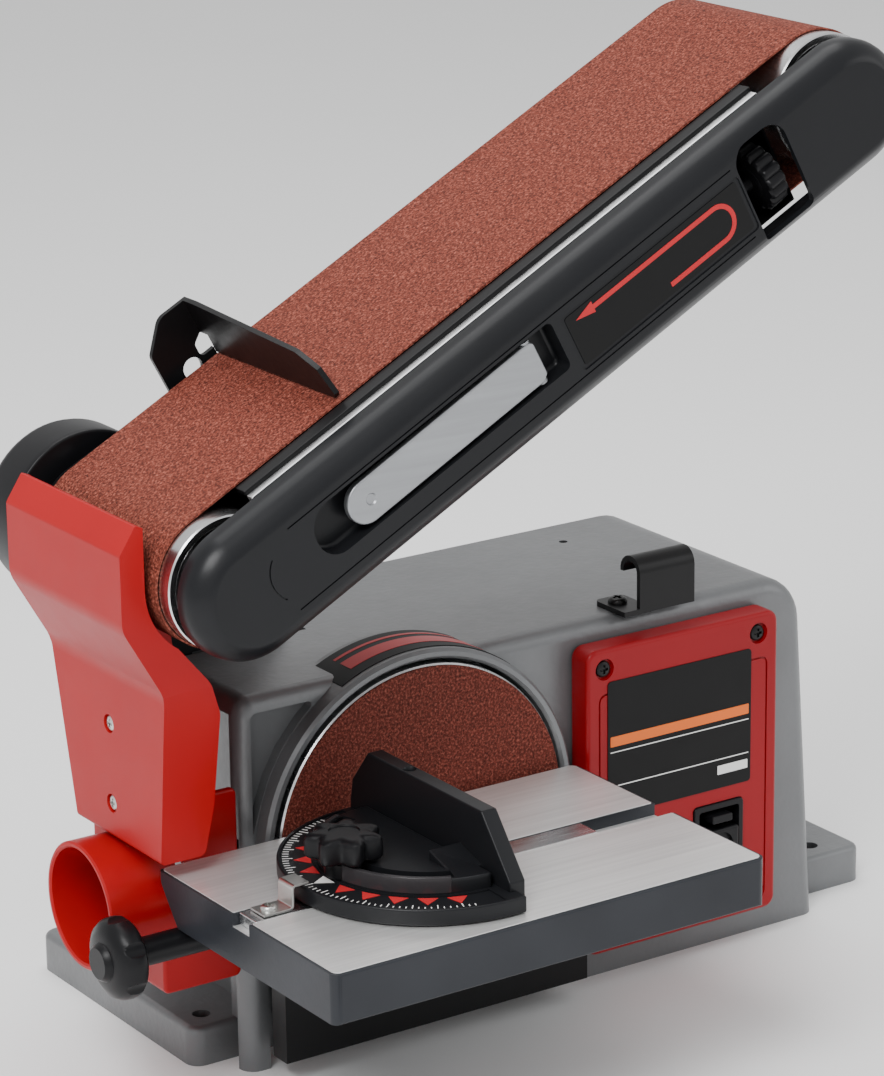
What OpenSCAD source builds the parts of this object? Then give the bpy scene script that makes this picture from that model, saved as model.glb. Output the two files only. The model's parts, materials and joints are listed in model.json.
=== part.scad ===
// Bench-top combination sander: a belt on a tilting arm and a disc with a small tilting table.
// Millimetres. +Z up, -Y is the operator's side, origin at the centre of the bench bolt pattern.

/* [Disc] */
// Diameter of the abrasive disc
disc_d = 152.4; // [140:0.1:160]
// Height of the disc's centre above the bench
disc_z = 103; // [100:1:112]
// Disc centre, left of the middle of the base
disc_offset = 83.5; // [80:0.5:90]

/* [Belt] */
// Width of the sanding belt
belt_w = 101.6; // [96:0.1:102]
// Length of the sanding belt round its loop
belt_len = 914.4; // [905:0.1:925]
// Thickness of the sanding belt
belt_t = 0.8; // [0.6:0.1:1]
// Radius of the belt's outer surface where it goes round a drum
belt_r = 31; // [30.5:0.1:31.5]
// Tilt of the arm above the horizontal as the machine stands
arm_tilt = 27.85; // [20:0.05:35]

/* [Base] */
// Height of the casting's top above the bench
base_h = 179; // [176:1:182]
// Distance between the bolt holes, left to right
bolt_dx = 357; // [355:1:359]
// Distance between the bolt holes, front to back
bolt_dy = 112; // [100:1:120]
// Radius of the four bench bolt holes
bolt_r = 4.25; // [3.5:0.05:5]
// Thickness of the feet
foot_t = 19; // [14:1:22]

/* [Table] */
// Length of the table, left to right
table_len = 223.4; // [215:0.1:224]
// Depth of the table, front to back
table_dep = 144; // [130:1:146]
// Height of the table's top above the disc's centre
table_rise = 13.9; // [12:0.1:15]
// Width of the mitre slot
slot_w = 14.4; // [12:0.1:15]
// Depth of the mitre slot
slot_d = 6.2; // [5:0.1:6.5]

/* [Hidden] */
$fn = 72;
gap = 0.3;
disc_x = -disc_offset;
disc_y = -100;
disc_r = disc_d / 2;
drum_x = disc_x - 122;
drum_z = disc_z + 150;
belt_y0 = disc_y - 31.4;
belt_y1 = belt_y0 + belt_w;
drum_r = belt_r - belt_t - gap;
idler_l = (belt_len - 2 * PI * (belt_r - belt_t / 2)) / 2;
cover_r = 30;
cover_z = -1.2;
cover_y0 = disc_y - 62;
cover_y1 = disc_y - 45;
lever_pin_x = 163;
web_x = 225;
tube_r = 20;
plate_y = disc_y + 71.2;
table_x0 = disc_x - 141.6;
table_y1 = disc_y - 3;
table_y0 = table_y1 - table_dep;
table_z = disc_z + table_rise;
tilt_y = disc_y - 18.7;
tilt_z = disc_z - 15.8;
trunnion_x0 = disc_x - 91;
trunnion_x1 = disc_x + 84.3;
slot_y = disc_y - 73;
pulley_y0 = disc_y + 90;
pulley_y1 = disc_y + 106;
motor_pulley_r = 22;
drum_pulley_r = 28;
shaft_r = 5.95;
hub_screw_r = 2.4;
drum_shaft_r = 7.45;
front_y = disc_y + 10;
left_wall_x = disc_x - 72;
wall = 6;

// A cylinder along Y between two Y values
module ycyl(r, y0, y1, x = 0, z = 0) {
    translate([x, y1, z]) rotate([90, 0, 0]) cylinder(r = r, h = y1 - y0);
}

// A cylinder along X between two X values
module xcyl(r, x0, x1, y = 0, z = 0) {
    translate([x0, y, z]) rotate([0, 90, 0]) cylinder(r = r, h = x1 - x0);
}

// A cylinder along Z between two Z values
module zcyl(r, z0, z1, x = 0, y = 0) {
    translate([x, y, z0]) cylinder(r = r, h = z1 - z0);
}

// A box from its low corner to its high corner
module span(lo, hi) {
    translate(lo) cube(hi - lo);
}

// A plane outline in X and Z, extruded along Y between two Y values
module xz(y0, y1) {
    translate([0, y1, 0]) rotate([90, 0, 0]) linear_extrude(y1 - y0) children();
}

// A plane outline in Y and Z, extruded along X between two X values
module yz(x0, x1) {
    translate([x0, 0, 0]) rotate([90, 0, 90]) linear_extrude(x1 - x0) children();
}

function arc_points(r, from, to, steps) = [for (i = [0:steps])
    let (a = from + (to - from) * i / steps) r * [cos(a), sin(a)]];

// The outline of a loop round two circles of one radius, the second at x
module loop2d(r, x) {
    circle(r);
    translate([x, 0]) circle(r);
    translate([0, -r]) square([x, 2 * r]);
}

// The outline of a loop round two circles, the first at the origin and the second at p
module tapered_loop(r0, r1, p) {
    turn = atan2(p[1], p[0]);
    lean = acos((r0 - r1) / norm(p));
    polygon(concat(arc_points(r0, turn + lean, turn + 360 - lean, 24),
        [for (q = arc_points(r1, turn - lean, turn + lean, 16)) p + q]));
}

// Places its children in the arm's frame: X along the arm from the drum's axis, Z out of the belt
module on_arm() {
    translate([drum_x, 0, drum_z]) rotate([0, -arm_tilt, 0]) children();
}

// A pan-head screw along -Y whose head rests on the plane y
module screw_y(x, y, z, r = 4, len = 8) {
    ycyl(r, y - 2.4, y, x, z);
    ycyl(r / 2, y, y + len, x, z);
}

// ---- base ----
shoulder_x = 143.5;
toe_x = 155;

module casting_outline() {
    polygon([[-174.5, 0], [-174.5, base_h - 4], [-170.5, base_h], [128, base_h],
        [shoulder_x, base_h - 11], [toe_x, 0]]);
}

module casting_cavity() {
    polygon([[left_wall_x + wall, -1], [left_wall_x + wall, base_h - wall], [125, base_h - wall],
        [shoulder_x - wall, base_h - 14], [toe_x - wall, -1]]);
}

module feet() {
    for (side = [-1, 1]) {
        span([side * 165 - 26.5, -70, 0], [side * 165 + 26.5, 75, foot_t]);
    }
    span([191, -70, 0], [201.5, 75, foot_t]);
}

module base_casting() {
    color([0.42, 0.43, 0.44]) difference() {
        union() {
            difference() {
                xz(front_y, 45) casting_outline();
                xz(front_y + wall, 46) casting_cavity();
                span([-180, front_y + 8, -1], [left_wall_x, 46, base_h - 8]);
            }
            feet();
            ycyl(84, disc_y + 1, disc_y + 35, disc_x, disc_z);
            span([disc_x - 84, disc_y + 11, foot_t], [disc_x + 84, disc_y + 35, disc_z]);
        }
        ycyl(79, disc_y - 1, disc_y + 30, disc_x, disc_z);
        ycyl(20, disc_y + 20, disc_y + 40, disc_x, disc_z);
        span([disc_x - 79, disc_y - 1, -1], [disc_x + 79, disc_y + 30, disc_z - 20]);
        span([-180, disc_y + 14, disc_z - 45], [disc_x - 70, disc_y + 29, disc_z + 10]);
        span([-180, disc_y + 79, disc_z - 12], [disc_x - 12, disc_y + 113, base_h + 1]);
        span([20, front_y - 1, 30], [102, front_y + wall + 1, 154]);
        for (x = [-1, 1]) {
            for (y = [-1, 1]) {
                zcyl(bolt_r, -1, foot_t + 1, x * bolt_dx / 2, y * bolt_dy / 2);
            }
        }
    }
}

module bottom_plate() {
    color([0.3, 0.3, 0.31]) span([-138.2, disc_y + 35.5, 4], [138.2, 45, 5.5]);
}

module rear_panel() {
    color([0.12, 0.12, 0.13]) difference() {
        xz(45.2, 48.2) polygon([[-148, foot_t + 1], [-148, base_h - 8], [126, base_h - 8],
            [140, foot_t + 1]]);
        for (row = [0:8]) {
            span([-125, 44, 60 + row * 10], [-45, 49, 65 + row * 10]);
        }
        ycyl(7, 44, 49, 110, 45);
    }
}

module rear_panel_screws() {
    color("silver") for (p = [[-140, 30], [-140, 160], [118, 160], [130, 30]]) {
        translate([p[0], 0, p[1]]) mirror([0, 1, 0]) ycyl(3.5, -50.4, -48.2);
    }
}

plate_x0 = disc_x + 88.9;
plate_x1 = disc_x + 201.6;
plate_z0 = disc_z - 86;
plate_z1 = disc_z + 66.5;

module switch_plate() {
    color([0.72, 0.13, 0.14]) difference() {
        span([plate_x0, disc_y - 4, plate_z0], [plate_x1, front_y - 0.05, plate_z1]);
        span([plate_x0 + 3, disc_y + 1, plate_z0 + 3], [plate_x1 - 3, front_y + 1, plate_z1 - 3]);
        span([plate_x0 + 62, disc_y - 5, plate_z0 + 24], [plate_x0 + 92, disc_y + 2, plate_z0 + 62]);
    }
}

module switch_plate_screws() {
    color([0.1, 0.1, 0.1]) for (x = [plate_x0 + 10, plate_x1 - 12]) {
        for (z = [plate_z0 + 10, plate_z1 - 10]) {
            ycyl(4, disc_y - 6, disc_y - 4, x, z);
        }
    }
}

module rating_panel() {
    color([0.08, 0.08, 0.08])
        span([plate_x0 + 12, disc_y - 4.8, plate_z0 + 74], [plate_x0 + 96, disc_y - 4, plate_z0 + 137]);
}

module switch_housing() {
    color([0.6, 0.1, 0.1]) difference() {
        span([plate_x0 + 62.3, disc_y - 4, plate_z0 + 24.3], [plate_x0 + 91.7, disc_y + 26, plate_z0 + 61.7]);
        span([plate_x0 + 65, disc_y - 5, plate_z0 + 27], [plate_x0 + 89, disc_y + 20, plate_z0 + 59]);
        xcyl(2.55, plate_x0 + 60, plate_x0 + 95, disc_y + 6, plate_z0 + 43);
    }
}

module switch_paddle() {
    color([0.75, 0.15, 0.15]) {
        span([plate_x0 + 66, disc_y - 7, plate_z0 + 30], [plate_x0 + 88, disc_y - 1, plate_z0 + 49]);
        span([plate_x0 + 72, disc_y - 2, plate_z0 + 39], [plate_x0 + 82, disc_y + 8, plate_z0 + 47]);
        xcyl(2.5, plate_x0 + 63, plate_x0 + 91, disc_y + 6, plate_z0 + 43);
    }
}

module safety_key() {
    color([0.9, 0.75, 0.1]) {
        span([plate_x0 + 71, disc_y - 8, plate_z0 + 52.5], [plate_x0 + 83, disc_y + 6, plate_z0 + 56.5]);
    }
}

guard_screw_x = 40;
guard_screw_z = disc_z - 32;

module lower_disc_guard() {
    color([0.1, 0.1, 0.11]) difference() {
        span([disc_x - 83, disc_y - 11, disc_z - 92], [disc_x + 83.5, disc_y + 0.6, disc_z - 26]);
        span([disc_x - 80, disc_y - 8, disc_z - 89], [disc_x + 80.5, disc_y + 2, disc_z - 22]);
        for (x = [-1, 1]) {
            ycyl(1.8, disc_y - 12, disc_y - 7, disc_x + x * guard_screw_x, guard_screw_z);
        }
    }
}

module disc_guard_screws() {
    color([0.2, 0.2, 0.2]) for (x = [-1, 1]) {
        screw_y(disc_x + x * guard_screw_x, disc_y - 11, guard_screw_z, 3.5, 2.5);
    }
}

hood_y0 = disc_y - 28;
hood_y1 = disc_y + 72;
port_y = disc_y + 30;
port_z = disc_z - 10;
port_r = 29.3;

// The hood's outer skin seen from the front, from the disc's centre
module hood_skin() {
    polygon([[-149, 22], [-149, 101], [-168, 134], [-168, 167], [-160, 179], [-157.5, 177], [-165, 166],
        [-165, 135], [-146, 102], [-146, 22]]);
}

// One of the hood's end walls, cut round the drum
module hood_end(right) {
    difference() {
        polygon([[-149, 33], [-149, 101], [-168, 134], [-168, 167], [-160, 179], [-140, 160],
            [right, 96], [right, 70], [min(right, -128), 33]]);
        translate([-122, 150]) circle(34.5);
        translate([-156.5, 150]) square(60);
    }
}

module dust_hood() {
    color([0.8, 0.13, 0.12]) {
        translate([disc_x, 0, disc_z]) {
            xz(hood_y0, hood_y0 + 3) hood_end(-119);
            xz(hood_y0, hood_y1) hood_skin();
            xz(hood_y1 - 3, hood_y1) hood_end(-91);
        }
        difference() {
            span([disc_x - 132, disc_y + 11, disc_z - 51], [disc_x - 92, hood_y1, disc_z + 36]);
            span([disc_x - 129, disc_y + 14, disc_z - 48], [disc_x - 91, hood_y1 - 3, disc_z + 37]);
            xcyl(port_r - 2.8, disc_x - 170, disc_x - 129, port_y, port_z);
        }
        intersection() {
            xcyl(port_r, disc_x - 129, disc_x - 126, port_y, port_z);
            span([disc_x - 130, disc_y, 0], [disc_x - 125, disc_y + 14, base_h]);
        }
        difference() {
            span([disc_x - 149, hood_y0, disc_z + 33], [disc_x - 119, hood_y1, disc_z + 36]);
            span([disc_x - 129, disc_y + 14, disc_z + 32], [disc_x - 118, hood_y1 - 3, disc_z + 37]);
        }
        difference() {
            xcyl(port_r, disc_x - 163, disc_x - 129, port_y, port_z);
            xcyl(port_r - 2.8, disc_x - 170, disc_x - 120, port_y, port_z);
        }
    }
}

module hood_screws() {
    color("silver") for (z = [31, 75]) {
        xcyl(4, disc_x - 151.5, disc_x - 149, disc_y + 22, disc_z + z);
    }
}

module rest_hook() {
    hook_x = disc_x + 126;
    hook_y = disc_y + 5;
    color([0.1, 0.1, 0.1]) {
        span([hook_x - 9, hook_y, base_h], [hook_x + 7, hook_y + 24, base_h + 2.5]);
        span([hook_x, hook_y, base_h], [hook_x + 32, hook_y + 2.5, base_h + 20]);
        difference() {
            xcyl(8, hook_x, hook_x + 32, hook_y + 8, base_h + 20);
            xcyl(5.5, hook_x - 1, hook_x + 33, hook_y + 8, base_h + 20);
            span([hook_x - 1, hook_y - 1, base_h], [hook_x + 33, hook_y + 17, base_h + 20]);
        }
    }
}

module rest_hook_screw() {
    color([0.2, 0.2, 0.2]) zcyl(4.5, base_h + 2.5, base_h + 5, disc_x + 124, disc_y + 20);
}

// ---- drive ----
module pivot_bracket() {
    color([0.4, 0.41, 0.42]) difference() {
        union() {
            ycyl(tube_r, plate_y - 0.4, disc_y + 88, drum_x, drum_z);
            translate([drum_x, 0, drum_z]) xz(disc_y + 83, disc_y + 88) tapered_loop(26, 22, [63, -77.5]);
            span([left_wall_x, disc_y + 83, disc_z - 12], [left_wall_x + 32, disc_y + 88, disc_z + 72]);
        }
        ycyl(14, plate_y - 1, disc_y + 89, drum_x, drum_z);
    }
}

module pulley_cover_outline(inset) {
    translate([drum_x, drum_z]) tapered_loop(40 - inset, 30 - inset, [122, -150]);
}

module pulley_cover() {
    color([0.09, 0.09, 0.1]) difference() {
        union() {
            xz(disc_y + 80.2, disc_y + 104) pulley_cover_outline(0);
            xz(disc_y + 104, disc_y + 108) pulley_cover_outline(3);
            xz(disc_y + 108, disc_y + 111) pulley_cover_outline(6);
        }
        xz(disc_y + 82.7, disc_y + 107) pulley_cover_outline(5);
        xz(disc_y + 106, disc_y + 108.8) pulley_cover_outline(8);
        ycyl(tube_r + 0.5, disc_y + 79, disc_y + 84, drum_x, drum_z);
        span([left_wall_x - 0.5, disc_y + 70, 0], [disc_x + 60, disc_y + 120, base_h + 0.4]);
        span([-260, disc_y + 70, 0], [left_wall_x - 0.5, disc_y + 120, disc_z + 15]);
    }
}

module pulley_cover_screws() {
    color("silver") for (p = [[-22, 16], [14, 22]]) {
        translate([drum_x + p[0], 0, drum_z + p[1]]) mirror([0, 1, 0])
            ycyl(2, -disc_y - 112.5, -disc_y - 111);
    }
}

module drive_belt() {
    color([0.07, 0.07, 0.07]) translate([disc_x, 0, disc_z]) xz(pulley_y0 + 3, pulley_y1 - 3)
        difference() {
            tapered_loop(motor_pulley_r + 2, drum_pulley_r + 2, [-122, 150]);
            tapered_loop(motor_pulley_r + gap, drum_pulley_r + gap, [-122, 150]);
        }
}

module bearing(y0, y1, x, z, outer, inner) {
    difference() {
        ycyl(outer, y0, y1, x, z);
        ycyl(inner, y0 - 1, y1 + 1, x, z);
    }
}

module drum_bearings() {
    color("silver") {
        bearing(disc_y + 71.4, disc_y + 78, drum_x, drum_z, 14, 7.5);
        bearing(disc_y + 81, disc_y + 88, drum_x, drum_z, 14, 7.5);
    }
}

module motor_stator() {
    color([0.35, 0.36, 0.38]) difference() {
        ycyl(56, disc_y + 46, disc_y + 72, disc_x, disc_z);
        ycyl(33, disc_y + 45, disc_y + 73, disc_x, disc_z);
    }
}

module motor_windings() {
    color([0.72, 0.4, 0.15]) for (y = [disc_y + 40.5, disc_y + 72]) {
        difference() {
            ycyl(47, y, y + 5.5, disc_x, disc_z);
            ycyl(34, y - 1, y + 6.5, disc_x, disc_z);
        }
    }
}

module motor_end_bells() {
    color([0.6, 0.61, 0.62]) for (y = [disc_y + 35, disc_y + 78]) {
        difference() {
            ycyl(60, y, y + 5, disc_x, disc_z);
            ycyl(14, y - 1, y + 6, disc_x, disc_z);
        }
    }
}

module motor_bearings() {
    color("silver") for (y = [disc_y + 33, disc_y + 77]) {
        bearing(y, y + 8, disc_x, disc_z, 14, 6);
    }
}

module motor_bolts() {
    color("silver") for (a = [45:90:315]) {
        ycyl(2.2, disc_y + 40, disc_y + 78, disc_x + 58.3 * cos(a), disc_z + 58.3 * sin(a));
    }
}

module start_capacitor() {
    color([0.15, 0.15, 0.17]) xcyl(17, 20, 90, 15, 22.5);
}

module cord_gland() {
    color([0.06, 0.06, 0.06]) difference() {
        union() {
            ycyl(7, 44, 56, 110, 45);
            ycyl(9.5, 48.4, 51.4, 110, 45);
        }
        ycyl(3.6, 43, 57, 110, 45);
    }
}

module motor_shaft() {
    color([0.75, 0.76, 0.78]) ycyl(shaft_r, disc_y + 9, disc_y + 126, disc_x, disc_z);
}

module motor_rotor() {
    color([0.5, 0.5, 0.52]) difference() {
        ycyl(32, disc_y + 46, disc_y + 72, disc_x, disc_z);
        ycyl(shaft_r, disc_y + 45, disc_y + 73, disc_x, disc_z);
    }
}

module motor_fan() {
    blades = 9;
    color([0.2, 0.2, 0.22]) difference() {
        union() {
            ycyl(12, disc_y + 111, disc_y + 124, disc_x, disc_z);
            ycyl(46, disc_y + 122, disc_y + 123.5, disc_x, disc_z);
            for (i = [0:blades - 1]) {
                translate([disc_x, 0, disc_z]) rotate([0, i * 360 / blades, 0])
                    span([9, disc_y + 112, -1], [45, disc_y + 123, 1]);
            }
        }
        ycyl(shaft_r, disc_y + 100, disc_y + 130, disc_x, disc_z);
    }
}

module pulley(r, x, z, bore) {
    difference() {
        union() {
            ycyl(r, pulley_y0, pulley_y1, x, z);
            for (y = [pulley_y0, pulley_y1 - 2]) {
                ycyl(r + 3.5, y, y + 2, x, z);
            }
        }
        ycyl(bore, pulley_y0 - 1, pulley_y1 + 1, x, z);
    }
}

module motor_pulley() {
    color([0.65, 0.66, 0.68]) pulley(motor_pulley_r, disc_x, disc_z, shaft_r);
}

module disc_plate() {
    color([0.8, 0.81, 0.82]) difference() {
        union() {
            ycyl(disc_r + 0.8, disc_y + 1, disc_y + 11, disc_x, disc_z);
            ycyl(16, disc_y + 11, disc_y + 28, disc_x, disc_z);
        }
        ycyl(shaft_r, disc_y + 9, disc_y + 29, disc_x, disc_z);
        zcyl(hub_screw_r, disc_z, disc_z + 20, disc_x, disc_y + 21);
    }
}

module abrasive_disc() {
    color([0.45, 0.16, 0.12]) ycyl(disc_r, disc_y, disc_y + 1, disc_x, disc_z);
}

module disc_hub_screw() {
    color([0.2, 0.2, 0.2]) zcyl(hub_screw_r, disc_z + shaft_r + 0.05, disc_z + 18, disc_x, disc_y + 21);
}

module drive_drum() {
    color([0.85, 0.86, 0.87]) difference() {
        union() {
            ycyl(drum_r, disc_y - 40, disc_y + 70, drum_x, drum_z);
            ycyl(drum_shaft_r, disc_y + 70, disc_y + 108, drum_x, drum_z);
        }
        ycyl(26, disc_y - 41, disc_y - 36, drum_x, drum_z);
    }
}

module drum_pulley() {
    color([0.65, 0.66, 0.68]) pulley(drum_pulley_r, drum_x, drum_z, drum_shaft_r);
}

// ---- arm ----
module arm_frame() {
    color([0.1, 0.1, 0.11]) on_arm() difference() {
        union() {
            span([38, disc_y - 38.5, -24], [300, plate_y, 26]);
            xz(plate_y, plate_y + 5) tapered_loop(29, 22, [210, 0]);
        }
        span([44, disc_y - 30, -18], [web_x, disc_y + 62, 20]);
        span([web_x + 4, disc_y - 30, -18], [301, disc_y + 62, 20]);
        ycyl(tube_r + 0.05, plate_y - 1, plate_y + 6, 0, 0);
    }
}

module platen() {
    color([0.55, 0.56, 0.58]) on_arm() span([34, disc_y - 30, 26], [322, disc_y + 69, 29.6]);
}

module side_rail() {
    color([0.8, 0.81, 0.82]) on_arm() span([40, disc_y - 43.8, -20], [297, disc_y - 38.5, 28]);
}

module side_cover_outline(inset) {
    translate([0, cover_z]) loop2d(cover_r - inset, idler_l);
}

module side_cover() {
    color([0.14, 0.14, 0.15]) on_arm() difference() {
        union() {
            xz(cover_y1 - 10, cover_y1) side_cover_outline(0);
            xz(cover_y0 + 3.5, cover_y1 - 10) side_cover_outline(3.5);
            xz(cover_y0, cover_y0 + 3.5) side_cover_outline(9);
        }
        difference() {
            xz(cover_y1 - 8, cover_y1 + 1) side_cover_outline(3);
            span([33, cover_y0, -12.5], [179, cover_y1 - 4.5, 16.5]);
        }
        span([36, cover_y0 - 1, -10], [176, cover_y1 - 7, 14]);
        span([291, cover_y0 - 1, -40], [321, cover_y1 + 1, 27]);
    }
}

module cover_screws() {
    color([0.5, 0.5, 0.5]) on_arm() for (x = [60, 200, 270]) {
        ycyl(3, cover_y1 - 8, disc_y - 43.8, x, -16.2);
    }
}

module direction_panel() {
    color([0.05, 0.05, 0.05]) on_arm() span([186, cover_y0 - 0.6, -14], [288, cover_y0, 9]);
}

module sanding_belt() {
    color([0.6, 0.27, 0.2]) on_arm() xz(belt_y0, belt_y1) difference() {
        loop2d(belt_r, idler_l);
        loop2d(belt_r - belt_t, idler_l);
    }
}

module work_stop() {
    color([0.08, 0.08, 0.08]) on_arm() {
        span([86, disc_y - 30, 32], [88.5, disc_y + 79, 57]);
        span([60, disc_y + 76.5, 2], [88.5, disc_y + 79, 59]);
    }
}

module work_stop_screws() {
    color("silver") on_arm() for (z = [8, 20]) {
        ycyl(4, disc_y + 79, disc_y + 82, 74, z);
    }
}

module arm_lock_screw() {
    color([0.15, 0.15, 0.15]) on_arm() difference() {
        ycyl(5, plate_y + 5, plate_y + 14, 108, 0);
        ycyl(2.5, plate_y + 9, plate_y + 15, 108, 0);
    }
}

module idler_carriage() {
    color([0.6, 0.61, 0.63]) on_arm() {
        span([309, disc_y - 14, -8], [319, disc_y + 75, 8]);
        span([309, disc_y + 71.4, -12], [idler_l + 14, disc_y + 76.4, 12]);
        for (y = [disc_y + 2, disc_y + 30]) {
            span([250, y, -6], [309, y + 8, 6]);
        }
        ycyl(6.5, disc_y - 34, disc_y + 72, idler_l, 0);
    }
}

// Points of one ring of wire round a helix along X
function coil_ring(a, pitch, coil_r, wire_r, sides) = [for (i = [0:sides - 1])
    let (b = i * 360 / sides, r = coil_r + wire_r * cos(b))
    [a / 360 * pitch + wire_r * sin(b), r * cos(a), r * sin(a)]];

module coil(turns, pitch, coil_r, wire_r) {
    sides = 6;
    steps = 14;
    last = turns * steps;
    rings = [for (k = [0:last]) coil_ring(k * 360 / steps, pitch, coil_r, wire_r, sides)];
    points = [for (ring = rings) each ring];
    skin = [for (k = [0:last - 1], i = [0:sides - 1]) let (j = (i + 1) % sides)
        [k * sides + i, k * sides + j, (k + 1) * sides + j, (k + 1) * sides + i]];
    start = [for (i = [sides - 1:-1:0]) i];
    end = [for (i = [0:sides - 1]) last * sides + i];
    polyhedron(points, concat([start], skin, [end]), convexity = 10);
}

module tension_spring() {
    color("silver") on_arm() translate([web_x + 5.5, disc_y + 20, 0]) coil(13, 5.6, 6, 0.9);
}

module idler_roller() {
    color([0.85, 0.86, 0.87]) on_arm() difference() {
        ycyl(drum_r, disc_y - 40, disc_y + 70, idler_l, 0);
        ycyl(6.55, disc_y - 36, disc_y + 71, idler_l, 0);
        ycyl(25, disc_y - 41, disc_y - 36, idler_l, 0);
    }
}

module tension_lever() {
    lever_y = cover_y0 + 1;
    color([0.75, 0.76, 0.77]) on_arm() {
        xz(lever_y, lever_y + 4) {
            translate([64, 1]) circle(10);
            polygon([[64, -9], [64, 11], [166, 12], [166, -8.5]]);
        }
        zcyl(2.5, -9.5, 13, lever_pin_x, lever_y + 4);
    }
}

module tracking_knob() {
    flutes = 20;
    color([0.1, 0.1, 0.1]) on_arm() translate([0, disc_y - 42.8, -6]) {
        difference() {
            xcyl(16, 305, 315);
            for (i = [0:flutes - 1]) {
                rotate([i * 360 / flutes, 0, 0]) xcyl(1.3, 304, 316, 16.4, 0);
            }
        }
        xcyl(3.5, 297.2, 305);
    }
}

// ---- table ----
module table_top() {
    skirt_z = table_z - 22.9;
    color([0.82, 0.82, 0.82]) difference() {
        union() {
            yz(table_x0, table_x0 + table_len) polygon([[table_y0, table_z - 9], [table_y0, table_z],
                [table_y1, table_z], [table_y1 - 9, table_z - 9]]);
            for (x = [table_x0, table_x0 + table_len - 4]) {
                yz(x, x + 4) polygon([[table_y0, skirt_z], [table_y0, table_z], [table_y1, table_z],
                    [table_y1 - 16.5, skirt_z]]);
            }
            span([table_x0, table_y0, skirt_z], [table_x0 + table_len, table_y0 + 4, table_z]);
        }
        span([table_x0 - 1, slot_y - slot_w / 2, table_z - slot_d],
            [table_x0 + table_len + 1, slot_y + slot_w / 2, table_z + 1]);
    }
}

// A lug with a round eye on the tilt axis, seen from the right
module eye(points, r, bore) {
    difference() {
        union() {
            polygon(points);
            translate([tilt_y, tilt_z]) circle(r);
        }
        translate([tilt_y, tilt_z]) circle(bore);
    }
}

module table_pivot_arms() {
    under = table_z - 9.05;
    lug = [[disc_y - 60, under], [disc_y - 14, under], [tilt_y + 7, tilt_z], [tilt_y - 7, tilt_z]];
    color([0.3, 0.3, 0.31]) {
        yz(trunnion_x0 - 5, trunnion_x0 - 1) eye(lug, 8, 4.05);
        yz(trunnion_x1 - 11.3, trunnion_x1 - 7.3) eye(lug, 8, 3);
        xcyl(3.95, trunnion_x1 - 11.3, trunnion_x1 + 4, tilt_y, tilt_z);
    }
}

module table_trunnions() {
    ear = [[tilt_y, tilt_z - 7.5], [front_y, tilt_z - 14], [front_y, tilt_z + 14], [tilt_y, tilt_z + 7.5]];
    color([0.4, 0.41, 0.42]) for (x = [trunnion_x0, trunnion_x1]) {
        yz(x, x + 4) eye(ear, 8, 4);
    }
}

module table_lock_knob() {
    color([0.12, 0.12, 0.12]) {
        xcyl(6.5, disc_x - 165, trunnion_x0 - 5.3, tilt_y, tilt_z);
        xcyl(3.95, trunnion_x0 - 5.3, trunnion_x0 + 5, tilt_y, tilt_z);
        xcyl(18.5, disc_x - 178.5, disc_x - 165, tilt_y, tilt_z);
        xcyl(7, disc_x - 181.5, disc_x - 178.5, tilt_y, tilt_z);
    }
}

// ---- mitre gauge ----
mitre_x = disc_x - 46;

module mitre_bar() {
    color([0.75, 0.76, 0.77]) {
        span([disc_x - 138, slot_y - slot_w / 2 + gap, table_z - slot_d + gap],
            [disc_x + 40, slot_y + slot_w / 2 - gap, table_z - 0.2]);
        zcyl(3, table_z - 0.2, table_z + 24, disc_x - 89, slot_y);
        zcyl(3.95, table_z - 0.2, table_z + 9, mitre_x, slot_y);
        span([disc_x - 132, slot_y - 5, table_z - 0.2], [disc_x - 122, slot_y + 5, table_z + 2]);
    }
}

module mitre_head() {
    head_r = 66;
    slot_r = 43;
    color([0.1, 0.1, 0.1]) difference() {
        union() {
            difference() {
                zcyl(head_r, table_z + 0.4, table_z + 8, mitre_x, slot_y);
                span([mitre_x + 4, slot_y - 80, table_z], [mitre_x + 80, slot_y + 80, table_z + 10]);
            }
            yz(mitre_x + 2, mitre_x + 10) polygon([[disc_y - 132, table_z + 0.4],
                [disc_y - 132, table_z + 11], [disc_y - 110, table_z + 38],
                [disc_y - 7, table_z + 38], [disc_y - 7, table_z + 0.4]]);
        }
        zcyl(4, table_z, table_z + 10, mitre_x, slot_y);
        intersection() {
            difference() {
                zcyl(slot_r + 3.6, table_z, table_z + 10, mitre_x, slot_y);
                zcyl(slot_r - 3.6, table_z, table_z + 10, mitre_x, slot_y);
            }
            translate([mitre_x, slot_y, table_z]) linear_extrude(10)
                polygon([[0, 0], [-22, 60], [-90, 60], [-90, -60], [-22, -60]]);
        }
    }
}

module mitre_knob() {
    lobes = 7;
    color([0.1, 0.1, 0.1]) translate([disc_x - 89, slot_y, table_z]) difference() {
        union() {
            cylinder(r = 9, h = 16);
            translate([0, 0, 14]) cylinder(r = 15, h = 11);
            for (i = [0:lobes - 1]) {
                rotate([0, 0, i * 360 / lobes]) translate([13, 0, 16]) cylinder(r = 4.5, h = 10);
            }
        }
        translate([0, 0, -1]) cylinder(r = 3.05, h = 25.3);
        translate([0, 0, -1]) cylinder(r = 12, h = 9.4);
    }
}

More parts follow.
